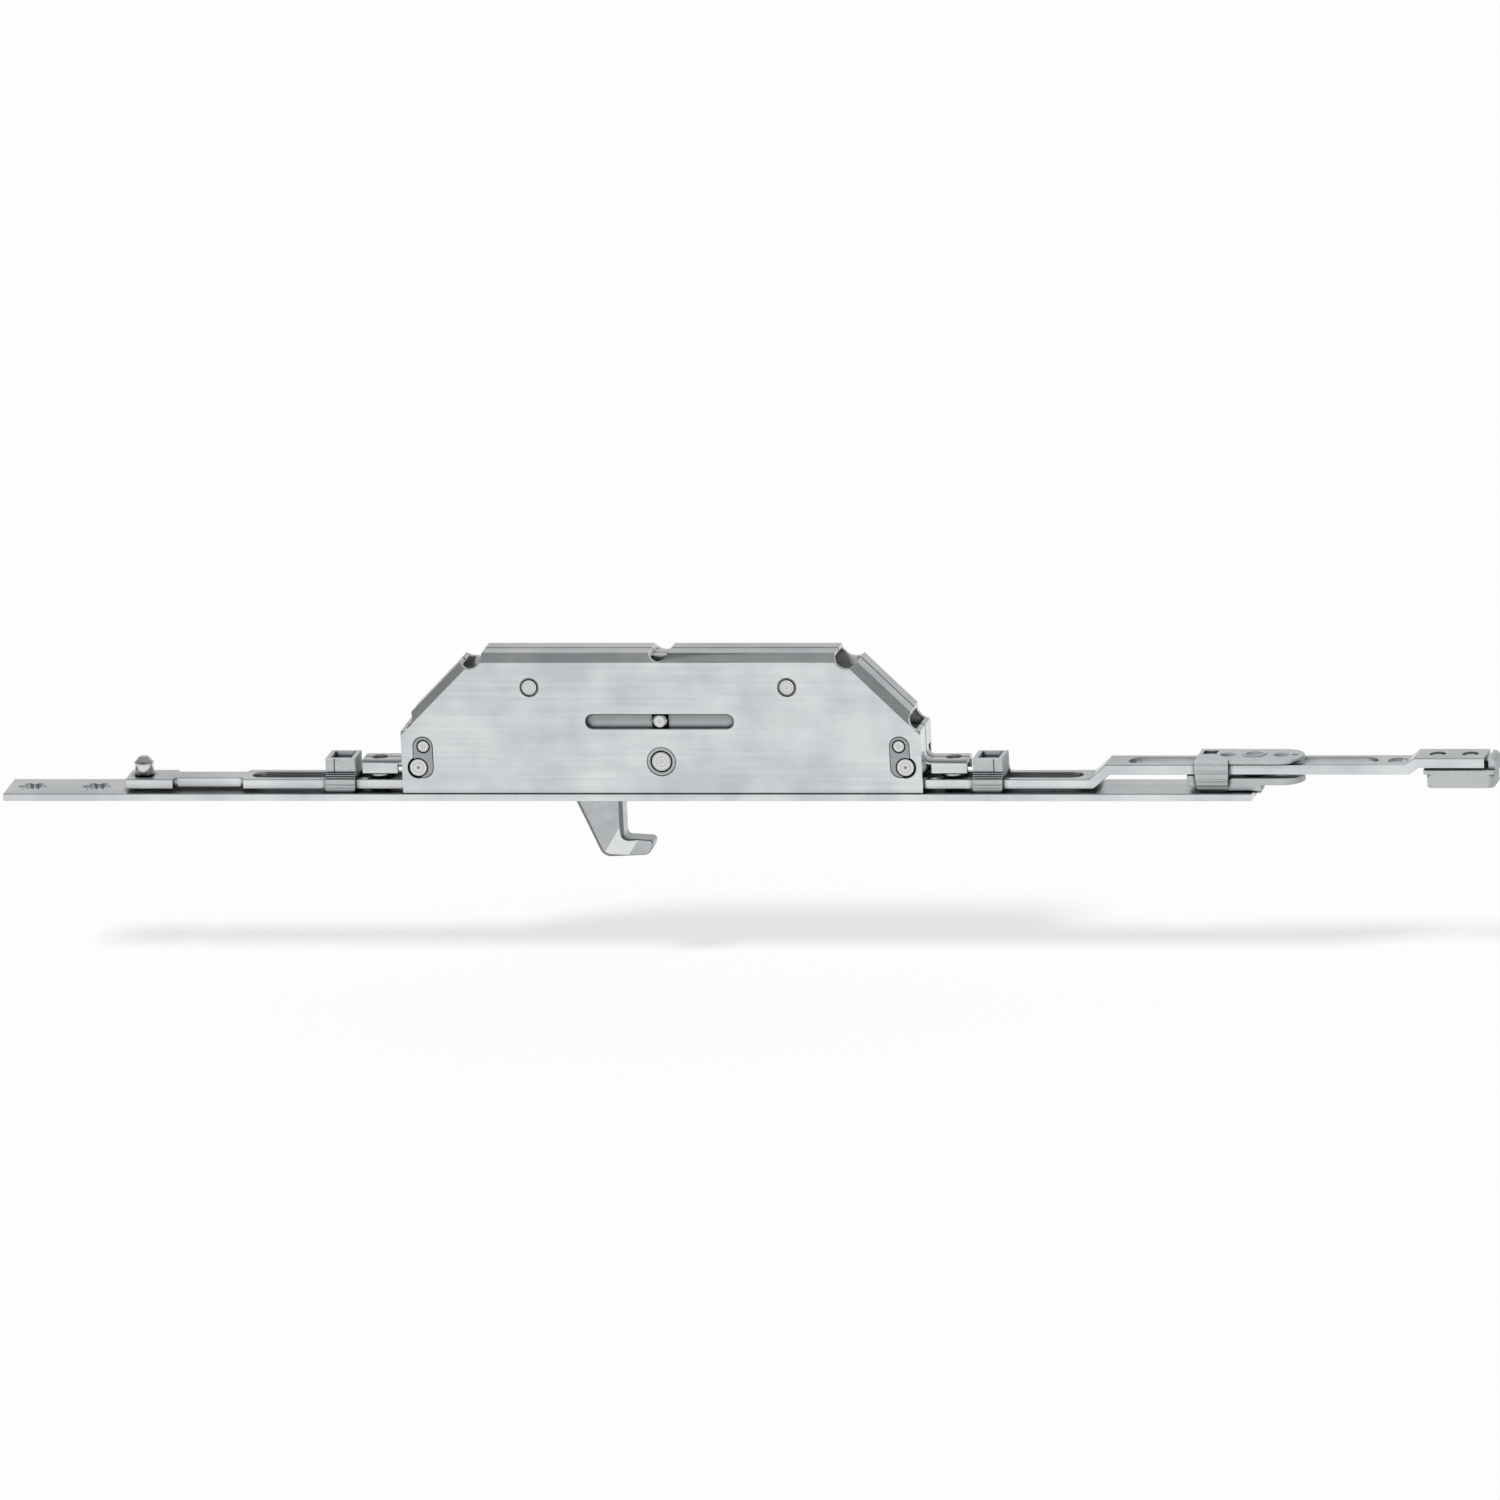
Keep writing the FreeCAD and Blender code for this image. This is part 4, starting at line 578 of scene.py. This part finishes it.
def dress():
    """Every node's finish and edges, the guide's fine trim, and pins in place of plain ones."""
    sheet = zinc_plated_steel("pressed_zinc_plated_sheet", SHEET_GRAIN_MM, grain_depth_mm=0.012,
                              roughness=(0.24, 0.36), seam_mm=SEAM_MM)
    strip = zinc_plated_steel("rolled_zinc_plated_strip", STRIP_GRAIN_MM, grain_depth_mm=0.02,
                              roughness=(0.2, 0.33))
    finish(sheet, "front_case_shell", "back_case_shell", "hook_washers")
    finish(strip, "faceplate", "left_drive_rod", "right_drive_rod")
    finish(phosphated_steel(), "front_drive_plate", "back_drive_plate", "pivot_bush")
    finish(tumbled_hook_steel(), "hook")
    finish(die_cast_zinc(), "left_guide_block", "right_guide_block")
    nylon = moulded_glass_nylon()
    finish(nylon, "left_rod_clip", "right_rod_clip", "end_guide", "end_shoe")
    turned("socket_rim", [SOCKET_PLACE_MM], SOCKET_RIM_MM, (0, 0, 1), "case", nylon)
    for name, radius, length, side, height in GUIDE_BEADS_MM:
        bead = [(share * radius, along) for share, along in BEAD_TIP]
        bead += [(share * radius, length - along) for share, along in reversed(BEAD_TIP)]
        start = GUIDE_BEADS_FROM_MM + (GUIDE_BEADS_SPAN_MM - length) / 2
        turned(name, [(start, -side, height), (start, side, height)], bead, (1, 0, 0), "case",
               nylon)
    finish(turned_rivet_steel("sleeves", *TIE_PLACE_MM, "Y"), "tie_sleeves")
    finish(turned_rivet_steel("posts", POST_REACH_MM, 0, "Z"), "ear_posts")
    finish(turned_rivet_steel("clip_rivets", CLIP_REACH_MM, 0, "Z"), "clip_rivets")
    finish(turned_rivet_steel("coupling_pin", COUPLING_PIN_REACH_MM, 0, "Z"), "coupling_pin")
    finish(turned_rivet_steel("foot_rivets", 0, 0, "Z"), "foot_rivets")
    for width_mm, tight_mm, names in ROUNDED:
        round_edges(width_mm, tight_mm, names)
    for name, node, body, steel_name, (x, z), end_mm in PINS:
        steel = turned_rivet_steel(steel_name, x, z, "Y")
        turned_pins(name, [(-x, z), (x, z)] if x else [(x, z)], end_mm, body, steel, node)


def camera():
    """The drawing's view, through a long lens from far away."""
    azimuth, elevation = math.radians(CAMERA_AZIMUTH_DEG), math.radians(CAMERA_ELEVATION_DEG)
    roll = math.radians(CAMERA_ROLL_DEG)
    level = Vector((math.cos(azimuth), math.sin(azimuth), 0))
    back = Vector((math.sin(azimuth) * math.cos(elevation),
                   -math.cos(azimuth) * math.cos(elevation), math.sin(elevation)))
    right = level * math.cos(roll) + back.cross(level) * math.sin(roll)
    data = bpy.data.cameras.new("camera")
    data.sensor_width = SENSOR_WIDTH_MM
    data.lens = SENSOR_WIDTH_MM * CAMERA_DISTANCE / (VIEW_WIDTH_MM * MM)
    data.clip_end = 2 * CAMERA_DISTANCE
    made = bpy.data.objects.new("camera", data)
    bpy.context.scene.collection.objects.link(made)
    turn = Matrix((right, back.cross(right), back)).transposed().to_4x4()
    place = Vector(CAMERA_AIM_MM) * MM + back * CAMERA_DISTANCE
    made.matrix_world = Matrix.Translation(place) @ turn
    bpy.context.scene.camera = made


def seen_by(tree, *rays):
    """1 for the kinds of ray that are named, 0 for the others."""
    path = add(tree, "ShaderNodeLightPath")
    seen = path.outputs[rays[0]]
    for kind in rays[1:]:
        either = add(tree, "ShaderNodeMath", {0: seen, 1: path.outputs[kind]}, operation="MAXIMUM")
        seen = either.outputs[0]
    return seen


def floor():
    """A matt white board, partly lit by itself where it is seen, so that it stays even."""
    low = cad_box[0][2] - FLOOR_DROP_MM * MM
    mesh = bpy.data.meshes.new("floor")
    corners = [(x * FLOOR_HALF, y * FLOOR_HALF, low)
               for x, y in ((-1, -1), (1, -1), (1, 1), (-1, 1))]
    mesh.from_pydata(corners, [], [(0, 1, 2, 3)])
    made = bpy.data.objects.new("floor", mesh)
    bpy.context.scene.collection.objects.link(made)
    material, tree, shader = new_material("matt_white_board", Roughness=0.9,
                                          Specular_IOR_Level=0.1)
    shader.inputs["Base Color"].default_value = linear(PAPER_WHITE)
    seen = seen_by(tree, "Is Camera Ray", "Is Glossy Ray", "Is Transmission Ray")
    share = add(tree, "ShaderNodeMath", {0: seen, 1: FLOOR_GLOW}, operation="MULTIPLY")
    glow = add(tree, "ShaderNodeEmission", {"Color": (1, 1, 1, 1), "Strength": 1.0})
    mixed = add(tree, "ShaderNodeMixShader", {
        0: share.outputs[0], 1: shader.outputs[0], 2: glow.outputs[0],
    })
    tree.links.new(mixed.outputs[0], tree.nodes["Material Output"].inputs["Surface"])
    mesh.materials.append(material)


def studio():
    """Even soft light; in gloss a white room with grey ceiling and sides, dark above the camera."""
    world = bpy.data.worlds.new("studio")
    world.use_nodes = True
    bpy.context.scene.world = world
    tree = world.node_tree
    place = add(tree, "ShaderNodeTexCoord").outputs["Generated"]
    way = add(tree, "ShaderNodeSeparateXYZ", {"Vector": place})
    ceiling = add(tree, "ShaderNodeMapRange", {
        "Value": way.outputs["Z"], "From Min": 0.35, "From Max": 0.8,
        "To Min": 0.64, "To Max": 0.38,
    }, interpolation_type="SMOOTHSTEP")
    front_shade = add(tree, "ShaderNodeMapRange", {
        "Value": way.outputs["Z"], "From Min": 0.38, "From Max": 0.5,
        "To Min": 0.62, "To Max": 0.06,
    })
    front_wall = add(tree, "ShaderNodeMapRange", {
        "Value": way.outputs["Y"], "From Min": -0.35, "From Max": -0.65,
        "To Min": 1.0, "To Max": front_shade.outputs["Result"],
    }, interpolation_type="SMOOTHSTEP")
    sideways = add(tree, "ShaderNodeMath", {0: way.outputs["X"]}, operation="ABSOLUTE")
    side_walls = add(tree, "ShaderNodeMapRange", {
        "Value": sideways.outputs[0], "From Min": 0.55, "From Max": 0.85,
        "To Min": 1.0, "To Max": 0.5,
    }, interpolation_type="SMOOTHSTEP")
    room = add(tree, "ShaderNodeMath", {
        0: ceiling.outputs["Result"], 1: front_wall.outputs["Result"],
    }, operation="MULTIPLY")
    room = add(tree, "ShaderNodeMath", {
        0: room.outputs[0], 1: side_walls.outputs["Result"],
    }, operation="MULTIPLY")
    plain = add(tree, "ShaderNodeMapRange", {
        "Value": seen_by(tree, "Is Camera Ray", "Is Transmission Ray"),
        "To Min": WORLD_LIGHT, "To Max": 1.0,
    })
    strength = add(tree, "ShaderNodeMix", {
        "Factor": seen_by(tree, "Is Glossy Ray"), "A": plain.outputs["Result"],
        "B": room.outputs[0],
    })
    background = tree.nodes["Background"]
    background.inputs["Color"].default_value = (1, 1, 1, 1)
    tree.links.new(strength.outputs["Result"], background.inputs["Strength"])

    data = bpy.data.lights.new("soft_sun", "SUN")
    data.energy = SUN_STRENGTH
    data.angle = math.radians(SUN_WIDTH_DEG)
    made = bpy.data.objects.new("soft_sun", data)
    bpy.context.scene.collection.objects.link(made)
    made.rotation_euler = (math.radians(SUN_TILT_DEG), 0, math.radians(SUN_TURN_DEG))
    made.visible_glossy = False
    bpy.context.scene.view_settings.view_transform = "Standard"


dress()
camera()
floor()
studio()
